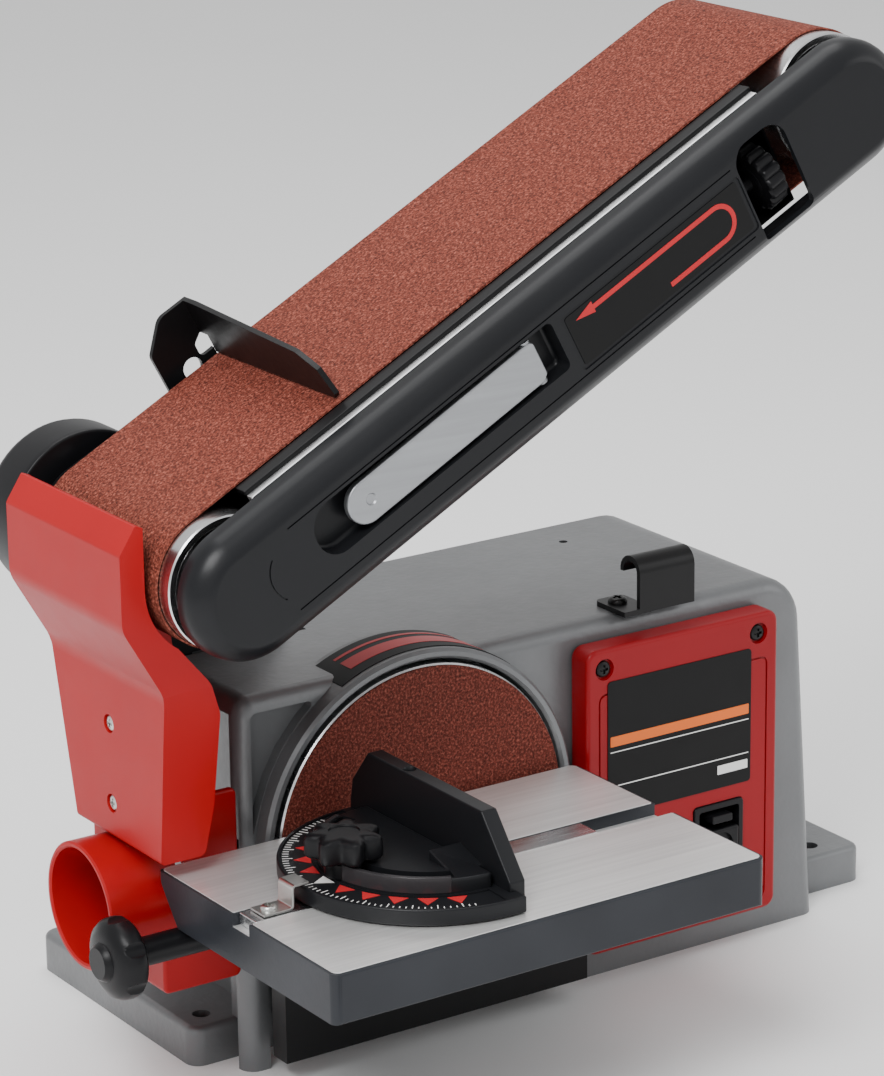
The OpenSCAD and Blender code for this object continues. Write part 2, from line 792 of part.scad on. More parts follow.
base_casting();
bottom_plate();
rear_panel();
rear_panel_screws();
switch_plate();
switch_plate_screws();
rating_panel();
switch_housing();
lower_disc_guard();
disc_guard_screws();
dust_hood();
hood_screws();
rest_hook();
rest_hook_screw();
pivot_bracket();
pulley_cover();
pulley_cover_screws();
drive_belt();
drum_bearings();
motor_stator();
motor_windings();
motor_end_bells();
motor_bearings();
motor_bolts();
start_capacitor();
cord_gland();
table_trunnions();
motor_shaft();
motor_rotor();
motor_fan();
motor_pulley();
disc_plate();
abrasive_disc();
disc_hub_screw();
drive_drum();
drum_pulley();
arm_frame();
platen();
side_rail();
side_cover();
cover_screws();
direction_panel();
sanding_belt();
work_stop();
work_stop_screws();
idler_carriage();
tension_spring();
idler_roller();
tension_lever();
tracking_knob();
table_top();
table_pivot_arms();
table_lock_knob();
mitre_bar();
mitre_head();
mitre_knob();
switch_paddle();
safety_key();
arm_lock_screw();
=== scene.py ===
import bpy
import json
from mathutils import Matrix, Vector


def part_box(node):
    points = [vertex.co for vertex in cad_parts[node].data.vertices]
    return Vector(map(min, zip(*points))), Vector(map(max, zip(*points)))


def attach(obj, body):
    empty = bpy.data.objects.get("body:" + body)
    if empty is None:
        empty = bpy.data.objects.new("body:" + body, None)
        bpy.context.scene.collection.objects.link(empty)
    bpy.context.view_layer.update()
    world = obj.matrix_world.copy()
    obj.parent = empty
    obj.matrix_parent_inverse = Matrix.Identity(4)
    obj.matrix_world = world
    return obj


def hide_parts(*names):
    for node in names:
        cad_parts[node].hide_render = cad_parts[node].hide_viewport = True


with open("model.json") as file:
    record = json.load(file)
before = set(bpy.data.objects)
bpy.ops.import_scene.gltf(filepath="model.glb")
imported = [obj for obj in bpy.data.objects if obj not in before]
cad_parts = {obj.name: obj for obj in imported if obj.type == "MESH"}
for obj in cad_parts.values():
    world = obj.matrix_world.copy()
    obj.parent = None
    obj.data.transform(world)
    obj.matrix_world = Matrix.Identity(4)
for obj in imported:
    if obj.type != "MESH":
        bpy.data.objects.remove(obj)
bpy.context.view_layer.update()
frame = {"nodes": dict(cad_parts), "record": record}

import json
import math
import bpy
import bmesh
from mathutils import Matrix, Vector

MM = 0.001
scene = bpy.context.scene
record = frame["record"]

# ---- frames
# Shapes are drawn in millimetres from the centre of the abrasive disc: X right, Y back, Z up.
disc_low, disc_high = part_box("abrasive_disc")
drum_low, drum_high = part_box("drive_drum")
disc_centre = Vector(((disc_low[0] + disc_high[0]) / 2, disc_low[1], (disc_low[2] + disc_high[2]) / 2))
BENCH = Matrix.Translation(disc_centre) @ Matrix.Scale(MM, 4)

# On the arm X runs along it from the drum's axis and Z points out of the belt.
joints = {joint["name"]: joint for joint in record["behaviour"]["joints"]}
along = joints["carriage_slide"]["axis"]
arm_tilt = math.atan2(along[2], along[0])
drum_radius = (drum_high[2] - drum_low[2]) / 2
drum_axis = Vector((drum_low[0] + drum_radius, disc_low[1], drum_low[2] + drum_radius))
ARM = Matrix.Translation(drum_axis) @ Matrix.Rotation(-arm_tilt, 4, "Y") @ Matrix.Scale(MM, 4)
idler_axis = Vector(joints["idler_spin"]["pos_m"])
REACH = (idler_axis - Vector((drum_axis.x, idler_axis.y, drum_axis.z))).length / MM

FLOOR = -disc_centre.z / MM
DRUM_X = round((drum_axis.x - disc_centre.x) / MM, 1)
DRUM_Z = round((drum_axis.z - disc_centre.z) / MM, 1)


# ---- outlines
def arc(x, y, radius, start, end, steps=12):
    """Points on an arc, angles in degrees."""
    turn = [math.radians(start + (end - start) * i / steps) for i in range(steps + 1)]
    return [(x + radius * math.cos(a), y + radius * math.sin(a)) for a in turn]


def rounded(points, radius=0.0, steps=6):
    """A closed outline with its corners rounded. A point may carry its own radius as a third number."""
    outline = []
    for i, point in enumerate(points):
        size = point[2] if len(point) > 2 else radius
        corner = Vector(point[:2])
        back = Vector(points[i - 1][:2]) - corner
        ahead = Vector(points[(i + 1) % len(points)][:2]) - corner
        half = back.angle(ahead) / 2
        if size <= 0 or half > math.radians(89):
            outline.append(tuple(corner))
            continue
        reach = min(size / math.tan(half), 0.49 * back.length, 0.49 * ahead.length)
        size = reach * math.tan(half)
        centre = corner + (back.normalized() + ahead.normalized()).normalized() * (size / math.sin(half))
        start = corner + back.normalized() * reach - centre
        end = corner + ahead.normalized() * reach - centre
        first = math.atan2(start.y, start.x)
        sweep = (math.atan2(end.y, end.x) - first + math.pi) % (2 * math.pi) - math.pi
        for k in range(steps + 1):
            angle = first + sweep * k / steps
            outline.append((centre.x + size * math.cos(angle), centre.y + size * math.sin(angle)))
    return outline


def box_outline(x0, y0, x1, y1, radius=0.0, steps=6):
    return rounded([(x0, y0), (x1, y0), (x1, y1), (x0, y1)], radius, steps)


def stadium(radius, length, steps=32):
    """Two half circles of one radius joined by straights, the second at length."""
    return arc(0, 0, radius, 90, 270, steps) + arc(length, 0, radius, -90, 90, steps)


def tapered(r0, r1, x, y, steps=36):
    """The outline round a circle at the origin and a smaller one at (x, y)."""
    turn = math.degrees(math.atan2(y, x))
    lean = math.degrees(math.acos((r0 - r1) / math.hypot(x, y)))
    return (arc(0, 0, r0, turn + lean, turn + 360 - lean, steps)
            + arc(x, y, r1, turn - lean, turn + lean, steps // 2))


def stroke(path, width):
    """The outline of an open line of some width, with square ends."""
    left, right = [], []
    for i, point in enumerate(path):
        ahead = Vector(path[min(i + 1, len(path) - 1)]) - Vector(path[max(i - 1, 0)])
        side = Vector((-ahead.y, ahead.x)).normalized() * (width / 2)
        left.append((point[0] + side.x, point[1] + side.y))
        right.append((point[0] - side.x, point[1] - side.y))
    return left + right[::-1]


# ---- solids
PLACE = {"x": lambda a, b, t: (t, a, b), "y": lambda a, b, t: (a, t, b), "z": lambda a, b, t: (a, b, t)}


def loft(rings, closed=False):
    """A skin over rings of points, capped at both ends unless it closes on itself."""
    bm = bmesh.new()
    rows = [[bm.verts.new(point) for point in ring] for ring in rings]
    pairs = list(zip(rows, rows[1:]))
    if closed:
        pairs.append((rows[-1], rows[0]))
    for low, high in pairs:
        for i in range(len(low)):
            j = (i + 1) % len(low)
            bm.faces.new((low[i], low[j], high[j], high[i]))
    if not closed:
        bm.faces.new(rows[0][::-1])
        bm.faces.new(rows[-1])
    bmesh.ops.recalc_face_normals(bm, faces=bm.faces)
    return bm


def prism(outline, low, high, axis="y"):
    """An outline in the other two axes, extruded along one axis."""
    place = PLACE[axis]
    return loft([[place(a, b, low) for a, b in outline], [place(a, b, high) for a, b in outline]])


def layers(steps, outline_of, axis="y"):
    """A loft along an axis: steps holds (inset, place) and outline_of gives the outline for an inset."""
    place = PLACE[axis]
    return loft([[place(a, b, t) for a, b in outline_of(inset)] for inset, t in steps])


def block(low, high):
    return prism(box_outline(low[0], low[2], high[0], high[2]), low[1], high[1])


def lathe(profile, axis="y", at=(0.0, 0.0), steps=72):
    """Turns (radius, place) pairs about an axis through at."""
    bm = bmesh.new()
    place = PLACE[axis]
    rows = []
    for radius, t in profile:
        if radius <= 1e-6:
            rows.append([bm.verts.new(place(at[0], at[1], t))])
        else:
            rows.append([bm.verts.new(place(a, b, t))
                         for a, b in arc(at[0], at[1], radius, 0, 360, steps)[:-1]])
    for low, high in zip(rows, rows[1:]):
        for i in range(steps):
            j = (i + 1) % steps
            corners = [low[i % len(low)], low[j % len(low)], high[j % len(high)], high[i % len(high)]]
            face = [v for k, v in enumerate(corners) if v not in corners[:k]]
            if len(face) > 2:
                bm.faces.new(face)
    for row, turn in ((rows[0], -1), (rows[-1], 1)):
        if len(row) > 1:
            bm.faces.new(row[::turn])
    bmesh.ops.recalc_face_normals(bm, faces=bm.faces)
    return bm


def rod(radius, low, high, axis="y", at=(0.0, 0.0), steps=72):
    """A plain solid cylinder."""
    return lathe([(0, low), (radius, low), (radius, high), (0, high)], axis, at, steps)


def tube_ring(outer, inner, low, high, axis="y", at=(0.0, 0.0), edge=0.6, steps=96):
    """A ring with eased edges."""
    profile = [(inner + edge, low), (outer - edge, low), (outer, low + edge), (outer, high - edge),
               (outer - edge, high), (inner + edge, high), (inner, high - edge), (inner, low + edge)]
    place = PLACE[axis]
    rings = []
    for a in range(steps):
        angle = 2 * math.pi * a / steps
        rings.append([place(at[0] + r * math.cos(angle), at[1] + r * math.sin(angle), t)
                      for r, t in profile])
    return loft(rings, closed=True)


def bent_sheet(path, thickness, low, high, axis="x"):
    """A strip of sheet metal that follows a path, with its middle on the path."""
    return prism(stroke(path, thickness), low, high, axis)


def with_modifiers(bm, modifiers):
    """The shape after its modifiers."""
    mesh = bpy.data.meshes.new("work")
    bm.to_mesh(mesh)
    bm.free()
    work = bpy.data.objects.new("work", mesh)
    scene.collection.objects.link(work)
    for kind, settings in modifiers:
        modifier = work.modifiers.new(kind, kind)
        for key, value in settings.items():
            setattr(modifier, key, value)
    bpy.context.view_layer.update()
    evaluated = work.evaluated_get(bpy.context.evaluated_depsgraph_get())
    result = bmesh.new()
    result.from_mesh(evaluated.to_mesh())
    evaluated.to_mesh_clear()
    bpy.data.objects.remove(work)
    bpy.data.meshes.remove(mesh)
    return result


def soften(bm, width, segments=3, angle=32.0):
    """Rounds every edge sharper than angle."""
    return with_modifiers(bm, [("BEVEL", {"width": width, "segments": segments, "limit_method": "ANGLE",
                                          "angle_limit": math.radians(angle)})])


def combine(bm, others, operation):
    for other in others:
        mesh = bpy.data.meshes.new("tool")
        other.to_mesh(mesh)
        other.free()
        tool = bpy.data.objects.new("tool", mesh)
        scene.collection.objects.link(tool)
        bm = with_modifiers(bm, [("BOOLEAN", {"object": tool, "operation": operation, "solver": "EXACT"})])
        bpy.data.objects.remove(tool)
        bpy.data.meshes.remove(mesh)
    return bm


def cut(bm, *others):
    return combine(bm, others, "DIFFERENCE")


def add(bm, *others):
    return combine(bm, others, "UNION")


def together(*parts):
    """Separate solids in one piece, such as a set of screws."""
    bm = bmesh.new()
    for part in parts:
        mesh = bpy.data.meshes.new("part")
        part.to_mesh(mesh)
        part.free()
        bm.from_mesh(mesh)
        bpy.data.meshes.remove(mesh)
    return bm


def moved(bm, matrix):
    bmesh.ops.transform(bm, matrix=matrix, verts=bm.verts)
    return bm


def shifted(bm, x, y, z):
    return moved(bm, Matrix.Translation((x, y, z)))


def trimmed(bm, point, normal):
    """Cuts off what lies beyond a plane and closes the cut."""
    geometry = bm.verts[:] + bm.edges[:] + bm.faces[:]
    done = bmesh.ops.bisect_plane(bm, geom=geometry, plane_co=point, plane_no=normal, clear_outer=True)
    edges = [e for e in done["geom_cut"] if isinstance(e, bmesh.types.BMEdge)]
    bmesh.ops.contextual_create(bm, geom=edges)
    return bm


# ---- pieces
def finish_mesh(bm, name, sharp=34.0):
    bmesh.ops.remove_doubles(bm, verts=bm.verts, dist=1e-4)
    bmesh.ops.dissolve_degenerate(bm, edges=bm.edges, dist=1e-4)
    bmesh.ops.recalc_face_normals(bm, faces=bm.faces)
    mesh = bpy.data.meshes.new(name)
    bm.to_mesh(mesh)
    bm.free()
    mesh.polygons.foreach_set("use_smooth", [True] * len(mesh.polygons))
    mesh.set_sharp_from_angle(angle=math.radians(sharp))
    return mesh


def piece(name, bm, body, material, replaces=(), place=None, sharp=34.0):
    """Puts a shape in the scene as a piece that rides on a CAD body."""
    mesh = finish_mesh(bm, name, sharp)
    mesh.transform(BENCH if place is None else place)
    mesh.materials.append(material)
    obj = bpy.data.objects.new(name, mesh)
    scene.collection.objects.link(obj)
    weighted = obj.modifiers.new("weighted_normals", "WEIGHTED_NORMAL")
    weighted.keep_sharp = True
    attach(obj, body)
    if replaces:
        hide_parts(*replaces)
    return obj


def dress(node, material, bevel=0.0):
    """Gives a CAD node its material, and eased edges where they show."""
    obj = frame["nodes"][node]
    obj.data.materials.clear()
    obj.data.materials.append(material)
    if bevel:
        modifier = obj.modifiers.new("eased", "BEVEL")
        modifier.width = bevel * MM
        modifier.segments = 2
        modifier.limit_method = "ANGLE"
        modifier.angle_limit = math.radians(35)
        modifier.harden_normals = False
    return obj


# ---- materials
class Paint:
    """A material under construction: the principled shader and short ways to add nodes to it."""

    def __init__(self, name, colour, roughness, metallic=0.0, coat=0.0, coat_roughness=0.1, specular=0.5):
        self.material = bpy.data.materials.new(name)
        self.material.use_nodes = True
        self.tree = self.material.node_tree
        self.shader = self.tree.nodes["Principled BSDF"]
        self.put(self.shader, "Base Color", (*colour, 1))
        self.put(self.shader, "Roughness", roughness)
        self.put(self.shader, "Metallic", metallic)
        self.put(self.shader, "Coat Weight", coat)
        self.put(self.shader, "Coat Roughness", coat_roughness)
        self.put(self.shader, "Specular IOR Level", specular)
        self.coordinates = self.tree.nodes.new("ShaderNodeTexCoord").outputs["Object"]
        self.normal = None

    def put(self, node, name, value):
        node.inputs[name].default_value = value

    def node(self, kind, links=(), **values):
        made = self.tree.nodes.new(kind)
        for key, value in values.items():
            if key in made.inputs:
                made.inputs[key].default_value = value
            else:
                setattr(made, key.lower(), value)
        for key, socket in dict(links).items():
            self.tree.links.new(socket, made.inputs[key])
        return made

    def stretched(self, scale):
        mapping = self.node("ShaderNodeMapping", {"Vector": self.coordinates})
        mapping.inputs["Scale"].default_value = scale
        return mapping.outputs["Vector"]

    def noise(self, scale, detail=3.0, roughness=0.5, stretch=None):
        vector = self.stretched(stretch) if stretch else self.coordinates
        return self.node("ShaderNodeTexNoise", {"Vector": vector}, Scale=scale, Detail=detail,
                         Roughness=roughness).outputs["Fac"]

    def cells(self, scale, feature="F1", output="Distance"):
        return self.node("ShaderNodeTexVoronoi", {"Vector": self.coordinates}, feature=feature,
                         Scale=scale).outputs[output]

    def ramp(self, factor, stops):
        made = self.node("ShaderNodeValToRGB", {"Fac": factor})
        elements = made.color_ramp.elements
        while len(elements) < len(stops):
            elements.new(0.5)
        for element, (place, value) in zip(elements, stops):
            element.position = place
            element.color = (*value, 1) if isinstance(value, tuple) else (value, value, value, 1)
        return made.outputs["Color"]

    def colour(self, socket):
        self.tree.links.new(socket, self.shader.inputs["Base Color"])

    def rough(self, factor, low, high):
        spread = self.node("ShaderNodeMapRange", {"Value": factor})
        spread.inputs["To Min"].default_value = low
        spread.inputs["To Max"].default_value = high
        self.tree.links.new(spread.outputs["Result"], self.shader.inputs["Roughness"])

    def bump(self, height, distance, strength=1.0):
        links = {"Height": height}
        if self.normal:
            links["Normal"] = self.normal
        made = self.node("ShaderNodeBump", links, Strength=strength, Distance=distance)
        self.normal = made.outputs["Normal"]
        self.tree.links.new(self.normal, self.shader.inputs["Normal"])


def shade(colour, factor):
    return tuple(min(1.0, c * factor) for c in colour)


def moulded_plastic(name, colour, roughness, grain=0.00003, coat=0.0):
    paint = Paint(name, colour, roughness, coat=coat, coat_roughness=0.18, specular=0.22)
    drift = paint.noise(9.0, 3.0)
    paint.colour(paint.ramp(drift, [(0.3, shade(colour, 0.92)), (0.7, shade(colour, 1.08))]))
    paint.rough(paint.noise(60.0, 4.0), roughness - 0.05, roughness + 0.07)
    paint.bump(paint.noise(1500.0, 2.0), grain, 0.6)
    paint.bump(paint.noise(45.0, 2.0), 0.00012, 0.25)
    return paint.material


def hammered_paint(name, colour):
    paint = Paint(name, colour, 0.4, metallic=0.35, coat=0.25, coat_roughness=0.25)
    pits = paint.cells(330.0, "SMOOTH_F1")
    drift = paint.noise(14.0, 4.0)
    paint.colour(paint.ramp(drift, [(0.25, shade(colour, 0.86)), (0.75, shade(colour, 1.12))]))
    paint.rough(paint.noise(120.0, 3.0), 0.34, 0.5)
    paint.bump(pits, 0.00035, 0.35)
    paint.bump(paint.noise(520.0, 3.0), 0.00018, 0.5)
    return paint.material


def powder_coat(name, colour, roughness=0.36):
    paint = Paint(name, colour, roughness, coat=0.05, coat_roughness=0.3, specular=0.22)
    drift = paint.noise(20.0, 3.0)
    paint.colour(paint.ramp(drift, [(0.3, shade(colour, 0.85)), (0.7, shade(colour, 1.2))]))
    paint.rough(paint.noise(200.0, 3.0), roughness - 0.06, roughness + 0.1)
    paint.bump(paint.noise(700.0, 2.0), 0.00006, 0.5)
    return paint.material


def abrasive(name, dark, middle, bright, grain=1.0):
    """Coated abrasive: packed grains of slightly different colour, with a few that glint."""
    paint = Paint(name, middle, 0.72, specular=0.2)
    cells = paint.node("ShaderNodeTexVoronoi", {"Vector": paint.coordinates}, Scale=1250.0 * grain)
    spots = paint.noise(820.0 * grain, 4.0, 0.65)
    tone = paint.ramp(spots, [(0.32, dark), (0.5, middle), (0.72, bright)])
    fleck = paint.ramp(cells.outputs["Color"], [(0.25, 0.55), (0.85, 1.35)])
    mixed = paint.node("ShaderNodeMix", data_type="RGBA", blend_type="MULTIPLY")
    mixed.inputs["Factor"].default_value = 0.6
    colours = [socket for socket in mixed.inputs if socket.type == "RGBA"]
    paint.tree.links.new(tone, colours[0])
    paint.tree.links.new(fleck, colours[1])
    result = [socket for socket in mixed.outputs if socket.type == "RGBA"][0]
    paint.colour(result)
    paint.rough(spots, 0.6, 0.9)
    paint.bump(cells.outputs["Distance"], 0.0004, 0.7)
    paint.bump(spots, 0.0004, 0.5)
    return paint.material


def brushed_metal(name, colour, roughness, stretch, metallic=1.0, depth=0.00004):
    """Metal with the fine lines that machining leaves along one direction."""
    paint = Paint(name, colour, roughness, metallic=metallic)
    lines = paint.noise(260.0, 5.0, 0.6, stretch)
    paint.colour(paint.ramp(lines, [(0.25, shade(colour, 0.88)), (0.75, shade(colour, 1.06))]))
    paint.rough(lines, roughness - 0.07, roughness + 0.09)
    paint.bump(lines, depth, 0.5)
    return paint.material


def plain_metal(name, colour, roughness, metallic=1.0):
    paint = Paint(name, colour, roughness, metallic=metallic)
    cloud = paint.noise(90.0, 4.0)
    paint.colour(paint.ramp(cloud, [(0.3, shade(colour, 0.88)), (0.7, shade(colour, 1.05))]))
    paint.rough(cloud, roughness - 0.06, roughness + 0.08)
    paint.bump(paint.noise(800.0, 2.0), 0.00003, 0.4)
    return paint.material


CAST = hammered_paint("cast_grey", (0.15, 0.155, 0.16))
BLACK_STEEL = powder_coat("black_sheet", (0.005, 0.005, 0.0055), 0.32)
BLACK_PLASTIC = moulded_plastic("black_moulded", (0.005, 0.005, 0.006), 0.36)
COVER = moulded_plastic("cover_moulded", (0.009, 0.0095, 0.011), 0.32)
RED_PLASTIC = moulded_plastic("red_moulded", (0.36, 0.003, 0.005), 0.4, coat=0.05)
RED_PAINT = moulded_plastic("red_plate", (0.27, 0.002, 0.006), 0.38, coat=0.05)
LABEL = moulded_plastic("label_film", (0.002, 0.002, 0.0022), 0.5, grain=0.00001)
LABEL_RED = moulded_plastic("label_red", (0.5, 0.02, 0.025), 0.3, grain=0.00001)
LABEL_ORANGE = moulded_plastic("label_orange", (0.8, 0.16, 0.02), 0.3, grain=0.00001)
LABEL_WHITE = moulded_plastic("label_white", (0.8, 0.8, 0.78), 0.35, grain=0.00001)
SMOKED = moulded_plastic("smoked_rim", (0.03, 0.028, 0.03), 0.16)
BELT = abrasive("belt_grain", (0.05, 0.008, 0.004), (0.17, 0.034, 0.02), (0.42, 0.13, 0.09))
DISC = abrasive("disc_grain", (0.04, 0.006, 0.004), (0.13, 0.024, 0.015), (0.34, 0.1, 0.07), 1.0)
TABLE_FACE = brushed_metal("table_machined", (0.92, 0.92, 0.91), 0.4, (0.04, 1.6, 1.0), 0.75)
TABLE_BODY = powder_coat("table_black", (0.02, 0.022, 0.027), 0.34)
ALUMINIUM = brushed_metal("machined_aluminium", (0.78, 0.79, 0.8), 0.28, (1.0, 0.06, 1.0))
RAIL = brushed_metal("rail_silver", (0.9, 0.9, 0.9), 0.3, (0.05, 1.0, 1.0))
STEEL = brushed_metal("turned_steel", (0.74, 0.74, 0.75), 0.24, (0.1, 1.0, 0.1))
LEVER = brushed_metal("lever_silver", (0.36, 0.37, 0.385), 0.42, (0.05, 1.0, 1.0), 0.85)
ZINC = plain_metal("zinc_plate", (0.62, 0.62, 0.6), 0.3)
BLACK_OXIDE = plain_metal("black_oxide", (0.012, 0.012, 0.012), 0.35, 0.6)
LAMINATION = plain_metal("lamination", (0.22, 0.22, 0.23), 0.45)
COPPER = plain_metal("copper_wire", (0.66, 0.26, 0.09), 0.35)
RUBBER = moulded_plastic("drive_rubber", (0.012, 0.012, 0.012), 0.65)


# ---- fasteners
def screw_head(radius, height, recess=0.45):
    """A pan head standing on Z 0 with a cross recess, its own axis along Z."""
    dome = [(radius, 0.0), (radius, height * 0.35), (radius * 0.93, height * 0.65),
            (radius * 0.75, height * 0.87), (radius * 0.4, height * 0.98), (0.0, height)]
    head = lathe([(0.0, 0.0)] + dome, "z", steps=32)
    reach = radius * 0.55
    width = radius * 0.17
    cross = [(-reach, -width), (-width, -width), (-width, -reach), (width, -reach), (width, -width),
             (reach, -width), (reach, width), (width, width), (width, reach), (-width, reach),
             (-width, width), (-reach, width)]
    return cut(head, prism(cross, height * recess, height + 1, "z"))


TURN = {"-y": Matrix.Rotation(math.radians(90), 4, "X"), "+y": Matrix.Rotation(math.radians(-90), 4, "X"),
        "-x": Matrix.Rotation(math.radians(-90), 4, "Y"), "+z": Matrix.Identity(4)}


def screws(places, radius, height, facing):
    return together(*[moved(screw_head(radius, height), Matrix.Translation(place) @ TURN[facing])
                      for place in places])


# ---- base
RING_R = 84.0
HOLE_R = 4.25
FOOT_TOP = FLOOR + 19
TOP = 76.0
BACK = 145.0
BOLTS_X = (-95.0, 262.0)
BOLTS_Y = (44.0, 156.0)


def foot(x0, x1):
    pad = prism(box_outline(x0, 30, x1, 175, 7), FLOOR - 8, FOOT_TOP, "z")
    pad = trimmed(soften(pad, 3.0, 4), (0, 0, FLOOR), (0, 0, -1))
    return pad


def wall_rib(x, reach, y):
    """A curved rib in the corner between a wall and a foot."""
    height = 26.0
    curve = arc(x + reach, FOOT_TOP + height, abs(reach), 180 if reach > 0 else 0, 270, 8)
    outline = [(x - reach * 0.2, FOOT_TOP - 3), (x - reach * 0.2, FOOT_TOP + height)] + curve
    outline.append((x + reach, FOOT_TOP - 3))
    return prism(outline, y, y + 7)


def build_casting():
    shell_outline = rounded([(-91, FLOOR - 20), (-91, TOP, 9), (227, TOP, 24), (240, FLOOR - 20)], steps=8)
    shell = soften(prism(shell_outline, 10, BACK + 20), 7.5, 5)
    shell = trimmed(shell, (0, 0, FLOOR), (0, 0, -1))
    shell = trimmed(shell, (0, BACK, 0), (0, 1, 0))
    post = rounded([(-84.5, 69, 3), (-49, 69, 2), (-58, 61.8), (-68.6, 49.8), (-76, 37.4), (-81.6, 22),
                    (-84.5, 12)])
    pocket = prism(post, 4, 15.5)
    room = rounded([(-66, FLOOR - 5), (-66, 70), (215, 70, 16), (231.5, FLOOR - 5)], 4)
    cavity = prism(room, 16, BACK + 5)
    shell = cut(shell, pocket, cavity, block((-100, 18, FLOOR - 5), (-72, BACK + 5, 68)))
    ring = lathe([(0, 1), (RING_R - 1.5, 1), (RING_R, 2.5), (RING_R, 35), (0, 35)], steps=128)
    shell = add(shell, ring, block((-RING_R, 11, FOOT_TOP), (RING_R, 35, 0)))
    shell = add(shell, foot(-108, -55), foot(222, 285))
    shell = add(shell, *[wall_rib(229, 22, y) for y in (62, 142)])
    chamber = lathe([(0, -2), (80.5, -2), (80.5, 0.9), (79, 2.5), (79, 30), (0, 30)], steps=128)
    drill = [rod(HOLE_R, FLOOR - 2, FOOT_TOP + 4, "z", (x, y), 32)
             for x in BOLTS_X for y in BOLTS_Y]
    shell = cut(shell, chamber,
                block((-79, -2, FLOOR - 5), (79, 30, -20)),
                block((-100, 14, -45), (-70, 29, 10)),
                block((-100, 79, -12), (-12, 113, TOP + 2)),
                block((103.5, 8, -73), (185.5, 18, 51)),
                rod(20, 28, 40, steps=48),
                rod(2.2, 60, 80, "z", (164, 120), 20), *drill)
    return soften(shell, 1.1, 3, 40)


def band(radius, thickness, y0, y1, start, end):
    """A strip wrapped round the disc's axis."""
    outline = arc(0, 0, radius + thickness, start, end, 40) + arc(0, 0, radius, end, start, 40)
    return prism(outline, y0, y1)


def build_base():
    piece("casting", build_casting(), "base", CAST, ["base_casting"])
    piece("ring_label", band(RING_R + 0.05, 0.3, 5, 32, 52, 118), "base", LABEL)
    streaks = [band(RING_R + 0.36, 0.12, y0, y1, start, 111) for y0, y1, start in ((12, 21, 60), (25, 27, 66))]
    piece("ring_streak", together(*streaks), "base", LABEL_RED)


PLATE_X = (89.0, 201.7)
PLATE_Z = (-86.0, 66.5)
PLATE_Y = -4.0
SWITCH_X = (151.0, 181.0)
SWITCH_Z = (-62.0, -24.0)


def build_switch_plate():
    outline = box_outline(PLATE_X[0], PLATE_Z[0], PLATE_X[1], PLATE_Z[1], 6)
    plate = soften(prism(outline, PLATE_Y, 9.9), 2.2, 4)
    inner = box_outline(PLATE_X[0] + 3, PLATE_Z[0] + 3, PLATE_X[1] - 3, PLATE_Z[1] - 3, 4)
    plate = cut(plate, prism(inner, 1, 12))
    groove_out = box_outline(PLATE_X[0] + 6.5, PLATE_Z[0] + 6.5, PLATE_X[1] - 6.5, PLATE_Z[1] - 22, 4)
    groove_in = box_outline(PLATE_X[0] + 7.5, PLATE_Z[0] + 7.5, PLATE_X[1] - 7.5, PLATE_Z[1] - 23, 3.4)
    groove = cut(prism(groove_out, PLATE_Y - 1, PLATE_Y + 0.8), prism(groove_in, PLATE_Y - 2, PLATE_Y + 2))
    opening = prism(box_outline(SWITCH_X[0], SWITCH_Z[0], SWITCH_X[1], SWITCH_Z[1], 2.5), PLATE_Y - 1, 3)
    seat = PLATE_Y + 2.2
    cone = [(0, PLATE_Y - 1), (5.4, PLATE_Y - 1), (4.9, seat), (0, seat)]
    wells = [lathe(cone, at=place, steps=32) for place in plate_corners()]
    plate = soften(cut(plate, groove, opening, *wells), 0.35, 2, 40)
    piece("switch_plate_front", plate, "base", RED_PAINT, ["switch_plate"])
    heads = screws([(x, seat, z) for x, z in plate_corners()], 4.0, 1.9, "-y")
    piece("plate_screws", heads, "base", BLACK_OXIDE, ["switch_plate_screws"])


def plate_corners():
    return [(x, z) for x in (PLATE_X[0] + 10, PLATE_X[1] - 12) for z in (PLATE_Z[0] + 10, PLATE_Z[1] - 10)]


def build_rating_panel():
    """A plain dark panel with a coloured stripe and an empty field, and no lettering."""
    x0, x1 = PLATE_X[0] + 11.5, PLATE_X[1] - 16.5
    z0, z1 = -17.0, 50.0
    face = PLATE_Y - 0.45
    panel = soften(prism(box_outline(x0, z0, x1, z1, 2), face, PLATE_Y), 0.15, 2)
    piece("rating_plate", panel, "base", LABEL, ["rating_panel"])
    stripe = prism(box_outline(x0 + 1.5, 17.5, x1 - 1.5, 22.5, 0.4), face - 0.12, face)
    piece("rating_stripe", stripe, "base", LABEL_ORANGE)
    field = prism(box_outline(x1 - 20, -10, x1 - 2, -5.5, 0.3), face - 0.12, face)
    piece("rating_field", field, "base", LABEL_WHITE)
    rules = [prism(box_outline(x0 + 1.5, z, x1 - 1.5, z + 0.5), face - 0.1, face) for z in (14.5, -2.5)]
    piece("rating_rules", together(*rules), "base", LABEL_WHITE)


